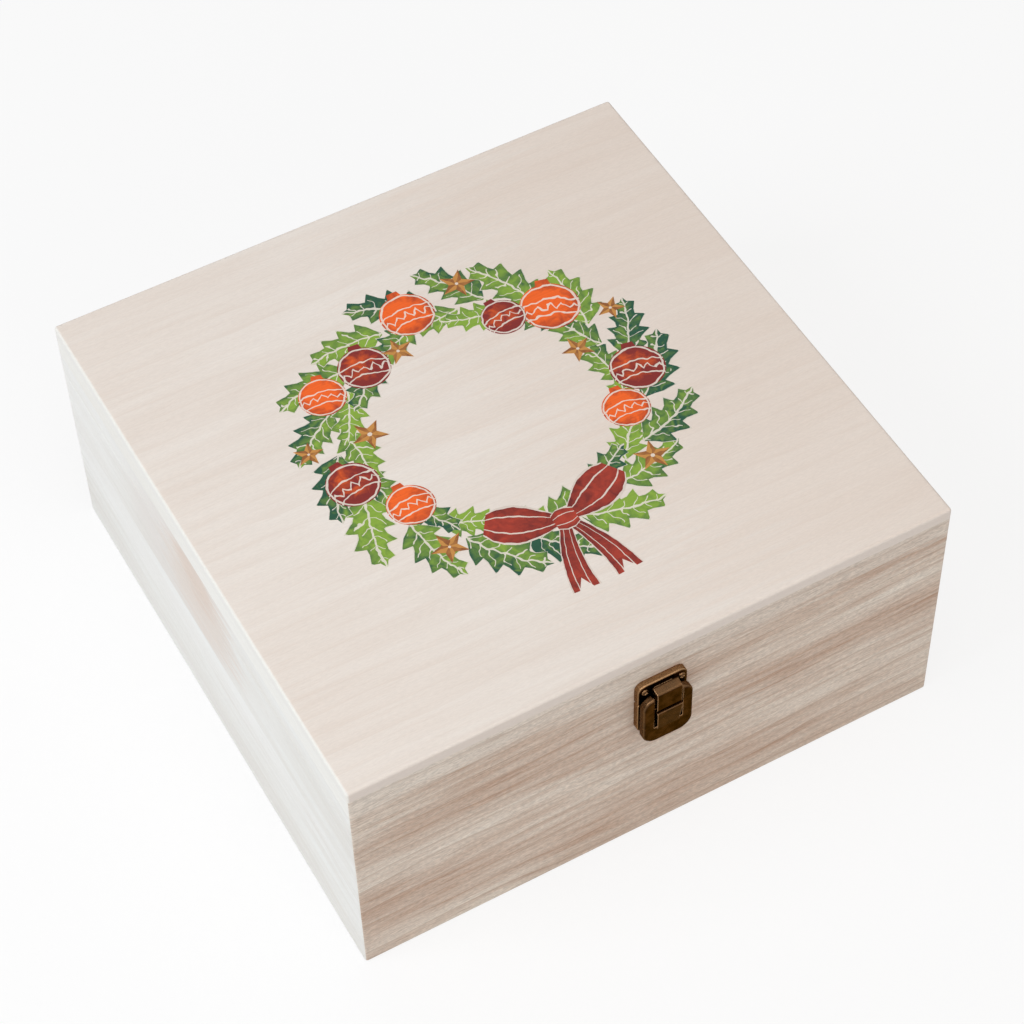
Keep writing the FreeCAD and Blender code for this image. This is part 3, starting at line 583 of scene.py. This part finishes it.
def paulownia(name, board, settings):
    """Sanded bare paulownia: pale, dull wood whose years darken up to dotted lines of pores."""
    material = bpy.data.materials.new(name)
    add = empty_tree(material)
    chart = add("TexCoord").outputs
    place = chart["Object"]
    height = add("SeparateXYZ", place).outputs["Z"]
    pale, dark, line = (linear(board[shade]) for shade in ("pale", "dark", "line"))
    band_share, ring_share, streak_share, line_share, fibre_share = board["shares"]
    radius, grain, fibres = cut_from_log(add, place, height, board, settings)

    band = grain_noise(add, grain, settings.band_width, settings.band_length)
    even_years = add("Math", radius, 1 / settings.ring_width, operation="MULTIPLY")
    years = add("Math", band, YEAR_SPREAD, even_years, operation="MULTIPLY_ADD")
    ring = add("Math", years, operation="FRACT")
    late = add("Math", ring, ring, operation="MULTIPLY")
    late_wood = add("Math", late, ring_share, operation="MULTIPLY")
    streak = grain_noise(add, grain, settings.streak_width, settings.streak_length)
    streaks = add("MapRange", streak, *STREAK_RANGE, 0, streak_share)
    bands = add("MapRange", band, *BAND_RANGE, 0, band_share)
    shade = add("Math", bands, streaks, operation="ADD")
    darkness = add("Math", shade, late_wood, operation="ADD")
    wood = add("Mix", darkness, pale, dark, data_type="RGBA")
    for patch in board.get("patches", ()):
        wood = add_patch(add, wood, place, height, streak, patch)
    if "edges" in board:
        wood = add_sides(add, wood, chart["Normal"], board)

    pores = grain_noise(add, grain, settings.line_width, settings.line_length)
    pale_lines = add("MapRange", pores, *PALE_LINE_RANGE, 0, line_share)
    lit = add("Mix", pale_lines, wood, pale, data_type="RGBA")
    late_pores = add("MapRange", ring, *LATE_PORE_RANGE, 0, line_share)
    dots = add("Math", late_pores, add("MapRange", fibres, *DOT_RANGE), operation="MULTIPLY")
    pore_lines = add("MapRange", pores, *DARK_LINE_RANGE, 0, line_share)
    dark_lines = add("Math", pore_lines, dots, operation="MAXIMUM")
    lined = add("Mix", dark_lines, lit, line, data_type="RGBA")
    tone = add("MapRange", fibres, *FIBRE_RANGE, 1 - fibre_share, 1 + fibre_share)
    toned = add("VectorMath", lined, tone, operation="SCALE")
    texture = add("Math", tone, dark_lines, operation="SUBTRACT")
    bump = add("Bump", {"Height": texture, "Distance": settings.relief, "Strength": 1})
    shader = add("BsdfPrincipled", {
        "Base Color": toned, "Roughness": settings.roughness, "IOR": WOOD_IOR, "Normal": bump,
    })
    add("OutputMaterial", shader)
    return material


def antique_bronze(name, settings, edge_wear_and_highlight_share, turned_face_highlight_share):
    """Bronze with a dark brown patina, black in corners, worn bare along edges with painted
    highlight, and painted highlight on faces turned from the front.
    """
    material = bpy.data.materials.new(name)
    add = empty_tree(material)
    chart = add("TexCoord").outputs
    blotches, specks = (
        add("TexNoise", {"Vector": chart["Object"], "Scale": 1 / width, "Detail": detail})
        for width, detail in ((settings.blotch_width, 3), (settings.speck_width, 2))
    )
    tarnished = add("MapRange", blotches, *TARNISH_RANGE)
    brown = add("Mix", tarnished, settings.patina, settings.tarnish, data_type="RGBA")
    openness = add("AmbientOcclusion", {
        "Distance": settings.grime_width,
    }, samples=EDGE_SAMPLES, only_local=True)
    corner = add("MapRange", openness.outputs["AO"], *GRIME_RANGE)
    grimed = add("Mix", corner, brown, settings.grime, data_type="RGBA")

    rounded = add("Bevel", settings.edge_round_width, samples=EDGE_SAMPLES)
    facing = add("NewGeometry").outputs["Normal"]
    agreement = add("VectorMath", rounded, facing, operation="DOT_PRODUCT")
    # Worn edges, partly painted highlight: where the rounded normal parts from the true one
    edge = add("MapRange", agreement, *EDGE_WEAR_AND_HIGHLIGHT_RANGE, 0, edge_wear_and_highlight_share)
    # Painted highlight: faces turned away from the front and back are lightened for the light from
    # above and the left
    upright = add("VectorMath", chart["Normal"], operation="ABSOLUTE")
    front_back_facing = add("SeparateXYZ", upright).outputs["Y"]
    turned_face_highlight = add("MapRange", front_back_facing, *TURNED_FACE_HIGHLIGHT_RANGE, 0, turned_face_highlight_share)
    # Worn edges and painted highlight together, broken by specks
    worn_and_highlit = add("Math", edge, turned_face_highlight, operation="MAXIMUM")
    patchy = add("MapRange", specks, *SPECKLED_WEAR_AND_HIGHLIGHT_RANGE, LEAST_WEAR_AND_HIGHLIGHT)
    wear_and_highlight = add("Math", worn_and_highlit, patchy, operation="MULTIPLY")
    metal = add("Mix", wear_and_highlight, grimed, settings.bright, data_type="RGBA")
    roughness = add("MapRange", specks, *SPECK_RANGE, settings.smoothest, settings.dullest)
    bump = add("Bump", {
        "Height": specks,
        "Distance": settings.relief,
        "Strength": settings.relief_share,
        "Normal": rounded,
    })
    shader = add("BsdfPrincipled", {
        "Base Color": metal,
        "Metallic": 1,
        "Roughness": roughness,
        "Specular Tint": settings.sheen,
        "Normal": bump,
    })
    add("OutputMaterial", shader)
    return material


class KEEPSAKE_OT_finish_boards(bpy.types.Operator):
    """Give every board its own cut of paulownia"""

    bl_idname = "keepsake.finish_boards"
    bl_label = "Finish Boards"

    def execute(self, context):
        settings = context.scene.keepsake_box.boards
        for name, board in BOARDS.items():
            assign(board["nodes"], paulownia(f"paulownia_{name}", board, settings))
        return {"FINISHED"}


class KEEPSAKE_OT_finish_bronze(bpy.types.Operator):
    """Give the latch, the hinges and their screws their antiqued bronze"""

    bl_idname = "keepsake.finish_bronze"
    bl_label = "Finish Bronze"

    def execute(self, context):
        settings = context.scene.keepsake_box.bronze
        for name, (nodes, edge_wear_and_highlight_share, turned_face_highlight_share) in BRONZES.items():
            bronze = antique_bronze(f"antique_bronze_{name}", settings, edge_wear_and_highlight_share, turned_face_highlight_share)
            assign(nodes, bronze)
        return {"FINISHED"}


def printed_ink(name, settings, dark, light, draw):
    """Matt ink in the grain of the wood: brushed tones of two colours, with pale drawn lines."""
    material = bpy.data.materials.new(name)
    add = empty_tree(material)
    place = add("TexCoord").outputs["Object"]
    even_chart = add("Attribute", attribute_name="chart").outputs["Vector"]
    waver = add("TexNoise", {
        "Vector": place, "Scale": 1 / settings.waver_width, "Detail": 1,
    }, normalize=False).outputs["Color"]
    bend = (settings.waver_share,) * 3
    by_hand = add("VectorMath", waver, bend, even_chart, operation="MULTIPLY_ADD")
    along, across, edge = add("SeparateXYZ", by_hand).outputs
    tone, lines = draw(add, along, across, edge)

    tint = add("Attribute", attribute_name="tint").outputs["Fac"]
    blotches = add("TexNoise", {
        "Vector": place, "Scale": 1 / settings.wash_width, "Detail": 4, "Distortion": 1,
    })
    brushed = add("Math", blotches, settings.wash_share, tone, operation="MULTIPLY_ADD")
    pool = add("MapRange", edge, *POOL_RANGE, 0, settings.pool_share)
    pooled = add("Math", brushed, pool, operation="SUBTRACT")
    tinted = add("Math", pooled, tint, operation="ADD")
    wash = add("Mix", add("MapRange", tinted, *WASH_RANGE), dark, light, data_type="RGBA")
    cover = add("Math", lines, settings.line_cover, operation="MULTIPLY")
    drawn = add("Mix", cover, wash, settings.pale, data_type="RGBA")
    grain_place = add("Mapping", {
        "Vector": place, "Scale": per_size(settings.grain_length, settings.grain_width),
    })
    grain = add("TexNoise", {"Vector": grain_place, "Scale": 1, "Detail": 2})
    fade = add("MapRange", grain, *FIBRE_RANGE, *INK_FADE)
    ink = add("VectorMath", drawn, fade, operation="SCALE")
    shader = add("BsdfPrincipled", {
        "Base Color": ink, "Roughness": settings.roughness, "IOR": INK_IOR,
    })
    add("OutputMaterial", shader)
    return material


def draw_leaf(add, along, across, edge):
    """A darker half beside the midrib; pale midrib, side veins that lean to the tip, and a rim."""
    half = add("Math", across, HALFWAY, operation="GREATER_THAN")
    tone = add("Math", half, LEAF_SHADE, -LEAF_SHADE / 2, operation="MULTIPLY_ADD")
    north = add("Math", across, HALFWAY, operation="SUBTRACT")
    aside = add("Math", north, operation="ABSOLUTE")
    midrib = add("Math", aside, MIDRIB_HALF, operation="LESS_THAN")
    rim = add("Math", edge, LEAF_RIM, operation="GREATER_THAN")
    leaning = add("Math", aside, VEIN_LEAN, along, operation="MULTIPLY_ADD")
    counted = add("Math", leaning, VEIN_COUNT, operation="MULTIPLY")
    step = add("Math", counted, operation="FRACT")
    side = add("Math", step, VEIN_WIDTH, operation="LESS_THAN")
    inner = add("Math", edge, VEIN_END, operation="LESS_THAN")
    veins = add("Math", side, inner, operation="MULTIPLY")
    ribs = add("Math", midrib, veins, operation="MAXIMUM")
    return tone, add("Math", ribs, rim, operation="MAXIMUM")


def draw_bauble(add, along, across, edge):
    """A soft light on one shoulder; two curved bands with a zigzag between them, and a thin rim."""
    east = add("Math", along, HALFWAY, operation="SUBTRACT")
    north = add("Math", across, HALFWAY, operation="SUBTRACT")
    light_east = add("Math", east, SHOULDER_WEST, operation="ADD")
    light_north = add("Math", north, SHOULDER_NORTH, operation="SUBTRACT")
    north_square = add("Math", light_north, light_north, operation="MULTIPLY")
    square = add("Math", light_east, light_east, north_square, operation="MULTIPLY_ADD")
    away = add("Math", square, operation="SQRT")
    tone = add("Math", away, LIGHT_FALL, LIGHT_START, operation="MULTIPLY_ADD")
    east_square = add("Math", east, east, operation="MULTIPLY")
    level = add("Math", east_square, BAND_BOW, north, operation="MULTIPLY_ADD")
    from_middle = add("Math", level, operation="ABSOLUTE")
    bands = add("Math", from_middle, BAND_PLACE, BAND_HALF, operation="COMPARE")
    teeth = add("Math", along, ZIGZAG_STEP, operation="PINGPONG")
    zigzag = add("Math", teeth, ZIGZAG_SLOPE, ZIGZAG_FOOT, operation="MULTIPLY_ADD")
    zigzag_line = add("Math", level, zigzag, ZIGZAG_HALF, operation="COMPARE")
    rim = add("Math", edge, BAUBLE_RIM, BAUBLE_RIM_HALF, operation="COMPARE")
    stripes = add("Math", bands, zigzag_line, operation="MAXIMUM")
    return tone, add("Math", stripes, rim, operation="MAXIMUM")


def draw_star(add, along, across, edge):
    """Light and dark halves of each point, and a small pale middle."""
    east = add("Math", along, HALFWAY, operation="SUBTRACT")
    north = add("Math", across, HALFWAY, operation="SUBTRACT")
    bearing = add("Math", east, north, operation="ARCTAN2")
    points = add("Math", bearing, STAR_POINTS / (2 * math.pi), operation="MULTIPLY")
    half = add("Math", points, operation="FRACT")
    tone = add("Math", half, HALFWAY, operation="GREATER_THAN")
    return tone, add("Math", edge, STAR_MIDDLE, operation="LESS_THAN")


def draw_ribbon(add, along, across, edge):
    """Darker towards the knot; folds that run along the ribbon, and a thin rim."""
    tone = add("Math", along, RIBBON_FALL, RIBBON_START, operation="MULTIPLY_ADD")
    folds = add("Math", edge, FOLD_PLACE, FOLD_HALF, operation="COMPARE")
    rim = add("Math", edge, RIBBON_RIM, operation="GREATER_THAN")
    return tone, add("Math", folds, rim, operation="MAXIMUM")


def deselect():
    """Leave nothing selected, so that an operator acts only on what comes next."""
    bpy.ops.object.select_all(action="DESELECT")


def choose(piece, test):
    """In edit mode, select the vertices whose place passes a test."""
    bpy.ops.mesh.select_all(action="DESELECT")
    mesh = bmesh.from_edit_mesh(piece.data)
    for vertex in mesh.verts:
        vertex.select_set(test(vertex.co))
    mesh.select_flush(True)
    bmesh.update_edit_mesh(piece.data)


def keep_chart(piece, chart_of):
    """Store the chart that a motif is drawn on: along, across and share of the way to its edge."""
    bpy.ops.object.mode_set(mode="OBJECT")
    chart = piece.data.attributes.new("chart", "FLOAT_VECTOR", "POINT")
    for vertex, entry in zip(piece.data.vertices, chart.data):
        entry.vector = chart_of(vertex.co)


def round_chart(place, radius):
    """The chart of a round motif: across both ways, and the share of the way out to its radius."""
    across = 2 * radius
    outwards = math.hypot(place.x, place.y) / radius
    return (place.x / across + HALFWAY, place.y / across + HALFWAY, outwards)


def shaped_strip(name, long, wide, shares, rows, shape=None):
    """A flat strip from the origin along X, whose columns are drawn in to shares of its width."""
    columns = len(shares) - 1
    step = long / columns
    deselect()
    bpy.ops.mesh.primitive_grid_add(x_subdivisions=columns, y_subdivisions=rows, size=1)
    strip = bpy.context.object
    strip.name = name
    strip.scale = (long, wide, 1)
    strip.location.x = long / 2
    bpy.ops.object.transform_apply(location=True, rotation=True, scale=True)
    edge_shares = iter([abs(vertex.co.y) / wide * 2 for vertex in strip.data.vertices])
    bpy.ops.object.mode_set(mode="EDIT")
    for column, width_share in enumerate(shares):
        station = step * column
        choose(strip, lambda place: abs(place.x - station) < step * NEAR)
        bpy.ops.transform.resize(value=(1, width_share, 1), center_override=(station, 0, 0))
    if shape:
        shape(strip)
    keep_chart(strip, lambda place: (place.x / long, place.y / wide + HALFWAY, next(edge_shares)))
    return strip


def bend_flat(piece, degrees):
    """Bend a strip in its own plane."""
    bend = piece.modifiers.new("Bend", "SIMPLE_DEFORM")
    bend.deform_method = "BEND"
    bend.deform_axis = "Z"
    bend.angle = math.radians(degrees)
    bpy.ops.object.modifier_apply(modifier=bend.name)


def holly_leaf(settings, bend):
    """A spiny leaf with its foot at the origin and its tip along X."""
    long, wide = settings.leaf_length, settings.leaf_width
    step = long / (len(LEAF_SHARES) - 1)

    def draw_out_spines(leaf):
        for column in SPINE_COLUMNS:
            station = step * column
            inner = wide / 2 * LEAF_SHARES[column] * SPINE_START
            choose(leaf, lambda place: (
                abs(place.x - station) < step * NEAR and abs(place.y) > inner
            ))
            bpy.ops.transform.translate(value=(step * SPINE_REACH, 0, 0))

    leaf = shaped_strip("leaf", long, wide, LEAF_SHARES, WIDE_ROWS, draw_out_spines)
    bend_flat(leaf, bend)
    return leaf


def bauble(settings):
    """A round bauble with a cap at its top, which points along Y."""
    radius = settings.bauble_radius
    deselect()
    bpy.ops.mesh.primitive_circle_add(vertices=BAUBLE_SIDES, radius=radius, fill_type="NGON")
    ball = bpy.context.object
    ball.name = "bauble"
    bpy.ops.object.mode_set(mode="EDIT")
    bpy.ops.mesh.inset(thickness=radius * BAUBLE_INSET)
    bpy.ops.mesh.poke()
    choose(ball, lambda place: place.y > radius * CAP_START)
    upwards = (0, radius * CAP_REACH, 0)
    bpy.ops.mesh.extrude_edges_move(TRANSFORM_OT_translate={"value": upwards})
    bpy.ops.transform.resize(value=(CAP_TAPER, 0, 1), center_override=(0, radius * CAP_TOP, 0))
    keep_chart(ball, lambda place: round_chart(place, radius))
    return ball


def star(settings):
    """A five-pointed star with a line from its middle to each point."""
    radius = settings.star_radius
    deselect()
    bpy.ops.mesh.primitive_circle_add(vertices=2 * STAR_POINTS, radius=radius, fill_type="NGON")
    shape = bpy.context.object
    shape.name = "star"
    bpy.ops.object.mode_set(mode="EDIT")
    half_turn = math.pi / STAR_POINTS
    choose(shape, lambda place: round(math.atan2(place.x, place.y) / half_turn) % 2 == 1)
    bpy.ops.transform.resize(value=(STAR_WAIST, STAR_WAIST, 1), center_override=(0, 0, 0))
    bpy.ops.mesh.select_all(action="SELECT")
    bpy.ops.mesh.poke()
    keep_chart(shape, lambda place: round_chart(place, radius))
    return shape


def place_copy(model, bearing, place, scale, tint):
    """Copy a flat motif, with its own mesh, to a place on the lid; the copy carries its tint."""
    deselect()
    model.select_set(True)
    bpy.context.view_layer.objects.active = model
    bpy.ops.object.duplicate()
    twin = bpy.context.object
    twin.rotation_euler.z = bearing
    twin.location = place
    twin.scale = (scale, scale, 1)
    bpy.ops.object.transform_apply(location=True, rotation=True, scale=True)
    tints = twin.data.attributes.new("tint", "FLOAT", "POINT")
    tints.data.foreach_set("value", [tint] * len(twin.data.vertices))
    return twin


def finish_print(name, copies, models, material, settings):
    """Join copies into one printed piece on the lid, and give its ink a thickness."""
    deselect()
    for model in models:
        model.select_set(True)
    bpy.ops.object.delete()
    for twin in copies:
        twin.select_set(True)
    bpy.context.view_layer.objects.active = copies[0]
    bpy.ops.object.join()
    piece = bpy.context.object
    piece.name = name
    piece.data.name = name
    thicken = piece.modifiers.new("Ink", "SOLIDIFY")
    thicken.thickness = settings.ink_depth
    thicken.offset = -1
    bpy.ops.object.modifier_apply(modifier=thicken.name)
    piece.data.materials.clear()
    piece.data.materials.append(material)
    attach(piece, "lid")


def on_ring(settings, bearing, step_share, layer):
    """A place on the wreath's ring, at a bearing from +X and a layer of ink."""
    reach = settings.ring_radius * (1 + step_share)
    height = lid_top + settings.ink_height + settings.ink_step * layer
    return Vector((reach * math.cos(bearing), reach * math.sin(bearing), height))


class KEEPSAKE_OT_print_leaves(bpy.types.Operator):
    """Print a ring of holly leaves on the lid"""

    bl_idname = "keepsake.print_leaves"
    bl_label = "Print Leaves"

    def execute(self, context):
        settings = context.scene.keepsake_box.lid_print
        models = [holly_leaf(settings, bend) for bend, *_ in LEAF_ROWS]
        copies = []
        for index in range(settings.leaf_count):
            row = index % 2
            _, lean, step_share, size = LEAF_ROWS[row]
            bearing = 2 * math.pi * index / settings.leaf_count
            lean += index * LEAN_STEP % LEAN_COUNT - LEAN_COUNT // 2
            size *= 1 + SIZE_SPREAD * (index * SIZE_STEP % SIZE_COUNT / SIZE_COUNT - HALFWAY)
            place = on_ring(settings, bearing, step_share, index * LAYER_STEP % LEAF_LAYERS)
            turn = bearing + math.pi / 2 + math.radians(lean)
            tint = index * TINT_STEP % TINT_COUNT / TINT_COUNT
            copies.append(place_copy(models[row], turn, place, size, tint))
        ink = printed_ink(
            "leaf_green_ink", settings, settings.leaf_dark, settings.leaf_light, draw_leaf
        )
        finish_print("print_leaves", copies, models, ink, settings)
        return {"FINISHED"}


class KEEPSAKE_OT_print_baubles(bpy.types.Operator):
    """Print orange and dark red baubles over the leaves"""

    bl_idname = "keepsake.print_baubles"
    bl_label = "Print Baubles"

    def execute(self, context):
        settings = context.scene.keepsake_box.lid_print
        model = bauble(settings)
        copies = []
        for index, (degrees, step_share, scale, tint) in enumerate(BAUBLES):
            layer = BAUBLE_LAYER + index % 2
            place = on_ring(settings, math.radians(degrees), step_share, layer)
            turn = math.radians(index * TURN_STEP % TURN_COUNT - TURN_COUNT // 2)
            copies.append(place_copy(model, turn, place, scale, tint))
        ink = printed_ink("bauble_ink", settings, settings.red, settings.orange, draw_bauble)
        finish_print("print_baubles", copies, [model], ink, settings)
        return {"FINISHED"}


class KEEPSAKE_OT_print_stars(bpy.types.Operator):
    """Print small two-tone stars between the leaves"""

    bl_idname = "keepsake.print_stars"
    bl_label = "Print Stars"

    def execute(self, context):
        settings = context.scene.keepsake_box.lid_print
        model = star(settings)
        copies = []
        for degrees, step_share, scale, turn in STARS:
            place = on_ring(settings, math.radians(degrees), step_share, STAR_LAYER)
            copies.append(place_copy(model, math.radians(turn), place, scale, tint=0))
        ink = printed_ink("star_gold_ink", settings, settings.brown, settings.gold, draw_star)
        finish_print("print_stars", copies, [model], ink, settings)
        return {"FINISHED"}


class KEEPSAKE_OT_print_bow(bpy.types.Operator):
    """Print a ribbon bow over the foot of the wreath"""

    bl_idname = "keepsake.print_bow"
    bl_label = "Print Bow"

    def execute(self, context):
        settings = context.scene.keepsake_box.lid_print
        foot = math.radians(-90)
        models, copies = [], []
        for index, side in enumerate((-1, 1)):
            tail = self.shape_tail(settings, side)
            tail_turn = foot + side * math.radians(TAIL_SPREAD)
            tail_place = on_ring(settings, foot, 0, TAIL_LAYER + index)
            loop = self.shape_loop(settings, side)
            loop_turn = (1 - index) * math.pi + side * math.radians(LOOP_LIFT)
            loop_place = on_ring(settings, foot, 0, LOOP_LAYER + index)
            copies.append(place_copy(tail, tail_turn, tail_place, 1, TAIL_TINT))
            copies.append(place_copy(loop, loop_turn, loop_place, 1, LOOP_TINT))
            models += [tail, loop]
        knot_length = settings.loop_length * KNOT_LENGTH
        knot = shaped_strip(
            "knot", knot_length, knot_length * KNOT_WIDTH, KNOT_SHARES, NARROW_ROWS
        )
        knot_place = on_ring(settings, foot, 0, KNOT_LAYER) - Vector((knot_length / 2, 0, 0))
        copies.append(place_copy(knot, 0, knot_place, 1, KNOT_TINT))
        ink = printed_ink(
            "ribbon_red_ink", settings, settings.ribbon_dark, settings.ribbon_light, draw_ribbon
        )
        finish_print("print_bow", copies, [*models, knot], ink, settings)
        return {"FINISHED"}

    def shape_loop(self, settings, side):
        """A loop that widens from the knot and curls up at its end, on the left or the right."""
        long = settings.loop_length
        loop = shaped_strip("loop", long, long * LOOP_WIDTH, LOOP_SHARES, WIDE_ROWS)
        bend_flat(loop, LOOP_BEND * side)
        return loop

    def shape_tail(self, settings, side):
        """A tail with a notched end, which swings out on the left or the right."""
        long = settings.tail_length
        wide = long * TAIL_WIDTH

        def notch_end(tail):
            end, middle_row = long * NOTCH_START, wide / NARROW_ROWS * NEAR
            choose(tail, lambda place: place.x > end and abs(place.y) < middle_row)
            bpy.ops.transform.translate(value=(-long * NOTCH_DEPTH, 0, 0))

        tail = shaped_strip("tail", long, wide, TAIL_SHARES, NARROW_ROWS, notch_end)
        bend_flat(tail, TAIL_BEND * side)
        return tail


def direction(azimuth, elevation):
    """Unit vector from the box at a turn from the front and a height above the horizon."""
    level = math.cos(elevation)
    return Vector((math.sin(azimuth) * level, -math.cos(azimuth) * level, math.sin(elevation)))


def add_soft_lamp(name, azimuth, elevation, distance, size, power, hex_colour):
    """A square soft box that faces the middle of the lid."""
    towards = direction(math.radians(azimuth), math.radians(elevation))
    centre = Vector((0, 0, lid_top))
    bpy.ops.object.light_add(type="AREA", location=centre + towards * distance)
    lamp = bpy.context.object
    lamp.name = name
    lamp.rotation_euler = towards.to_track_quat("Z", "Y").to_euler()
    lamp.data.size = size
    lamp.data.energy = power
    lamp.data.color = linear(hex_colour)[:3]


def seen_directly(add):
    """A value of 1 for rays that show the background: camera, glossy and transmission rays."""
    rays = add("LightPath").outputs
    direct = add("Math", rays["Is Camera Ray"], rays["Is Glossy Ray"], operation="MAXIMUM")
    return add("Math", direct, rays["Is Transmission Ray"], operation="MAXIMUM")


def white_paper(settings):
    """Matt white paper, shown near white, that still takes the object's shadow."""
    material = bpy.data.materials.new("white_paper")
    add = empty_tree(material)
    matt = add("BsdfDiffuse", {"Color": settings.paper})
    glow = add("Emission", {"Color": settings.white, "Strength": 1})
    glow_share = add("Math", seen_directly(add), settings.floor_glow, operation="MULTIPLY")
    add("OutputMaterial", add("MixShader", glow_share, matt, glow))
    return material


class KEEPSAKE_OT_set_stage(bpy.types.Operator):
    """Set the floor, the soft light and the camera"""

    bl_idname = "keepsake.set_stage"
    bl_label = "Set Stage"

    def execute(self, context):
        settings = context.scene.keepsake_box.stage
        self.lay_floor(settings)
        for lamp in LAMPS:
            add_soft_lamp(*lamp)
        context.scene.world = self.light_sky(settings)
        context.scene.camera = self.place_camera(settings)
        context.scene.view_settings.view_transform = "Standard"
        return {"FINISHED"}

    def lay_floor(self, settings):
        """A wide sheet of paper under the box."""
        deselect()
        bpy.ops.mesh.primitive_plane_add(size=settings.floor_size)
        floor = bpy.context.object
        floor.name = "floor"
        floor.data.materials.append(white_paper(settings))

    def light_sky(self, settings):
        """An even white sky: a fill light that shows as plain white."""
        world = bpy.data.worlds.new("studio")
        add = empty_tree(world)
        strength = add("MapRange", {
            "Value": seen_directly(add), "To Min": settings.sky_fill, "To Max": 1,
        })
        sky = add("Background", {"Color": settings.white, "Strength": strength})
        add("OutputWorld", sky)
        return world

    def place_camera(self, settings):
        """A camera that looks at its aim, rolled a little about its line of sight."""
        towards = direction(settings.azimuth, settings.elevation)
        place = Vector(settings.aim) + towards * settings.distance
        bpy.ops.object.camera_add(location=place)
        camera = bpy.context.object
        upright = towards.to_track_quat("Z", "Y")
        camera.rotation_euler = (upright @ Quaternion((0, 0, 1), settings.roll)).to_euler()
        camera.data.lens = settings.focal_length
        return camera


class KEEPSAKE_PT_looks(bpy.types.Panel):
    """Lists the steps that dress the box"""

    bl_idname = "KEEPSAKE_PT_looks"
    bl_label = "Keepsake Box"
    bl_space_type = "VIEW_3D"
    bl_region_type = "UI"
    bl_category = "Keepsake Box"

    def draw(self, context):
        for step in STEPS:
            self.layout.operator(step.bl_idname)


STEPS = (
    KEEPSAKE_OT_finish_boards,
    KEEPSAKE_OT_finish_bronze,
    KEEPSAKE_OT_print_leaves,
    KEEPSAKE_OT_print_baubles,
    KEEPSAKE_OT_print_stars,
    KEEPSAKE_OT_print_bow,
    KEEPSAKE_OT_set_stage,
)
CLASSES = (
    BoardSettings, BronzeSettings, PrintSettings, StageSettings, KeepsakeBoxSettings,
    *STEPS, KEEPSAKE_PT_looks,
)


def register():
    for item in CLASSES:
        bpy.utils.register_class(item)
    bpy.types.Scene.keepsake_box = PointerProperty(type=KeepsakeBoxSettings)


def unregister():
    del bpy.types.Scene.keepsake_box
    for item in reversed(CLASSES):
        bpy.utils.unregister_class(item)


def main():
    register()
    bpy.ops.keepsake.finish_boards()
    bpy.ops.keepsake.finish_bronze()
    bpy.ops.keepsake.print_leaves()
    bpy.ops.keepsake.print_baubles()
    bpy.ops.keepsake.print_stars()
    bpy.ops.keepsake.print_bow()
    bpy.ops.keepsake.set_stage()


if __name__ == "__main__":
    main()
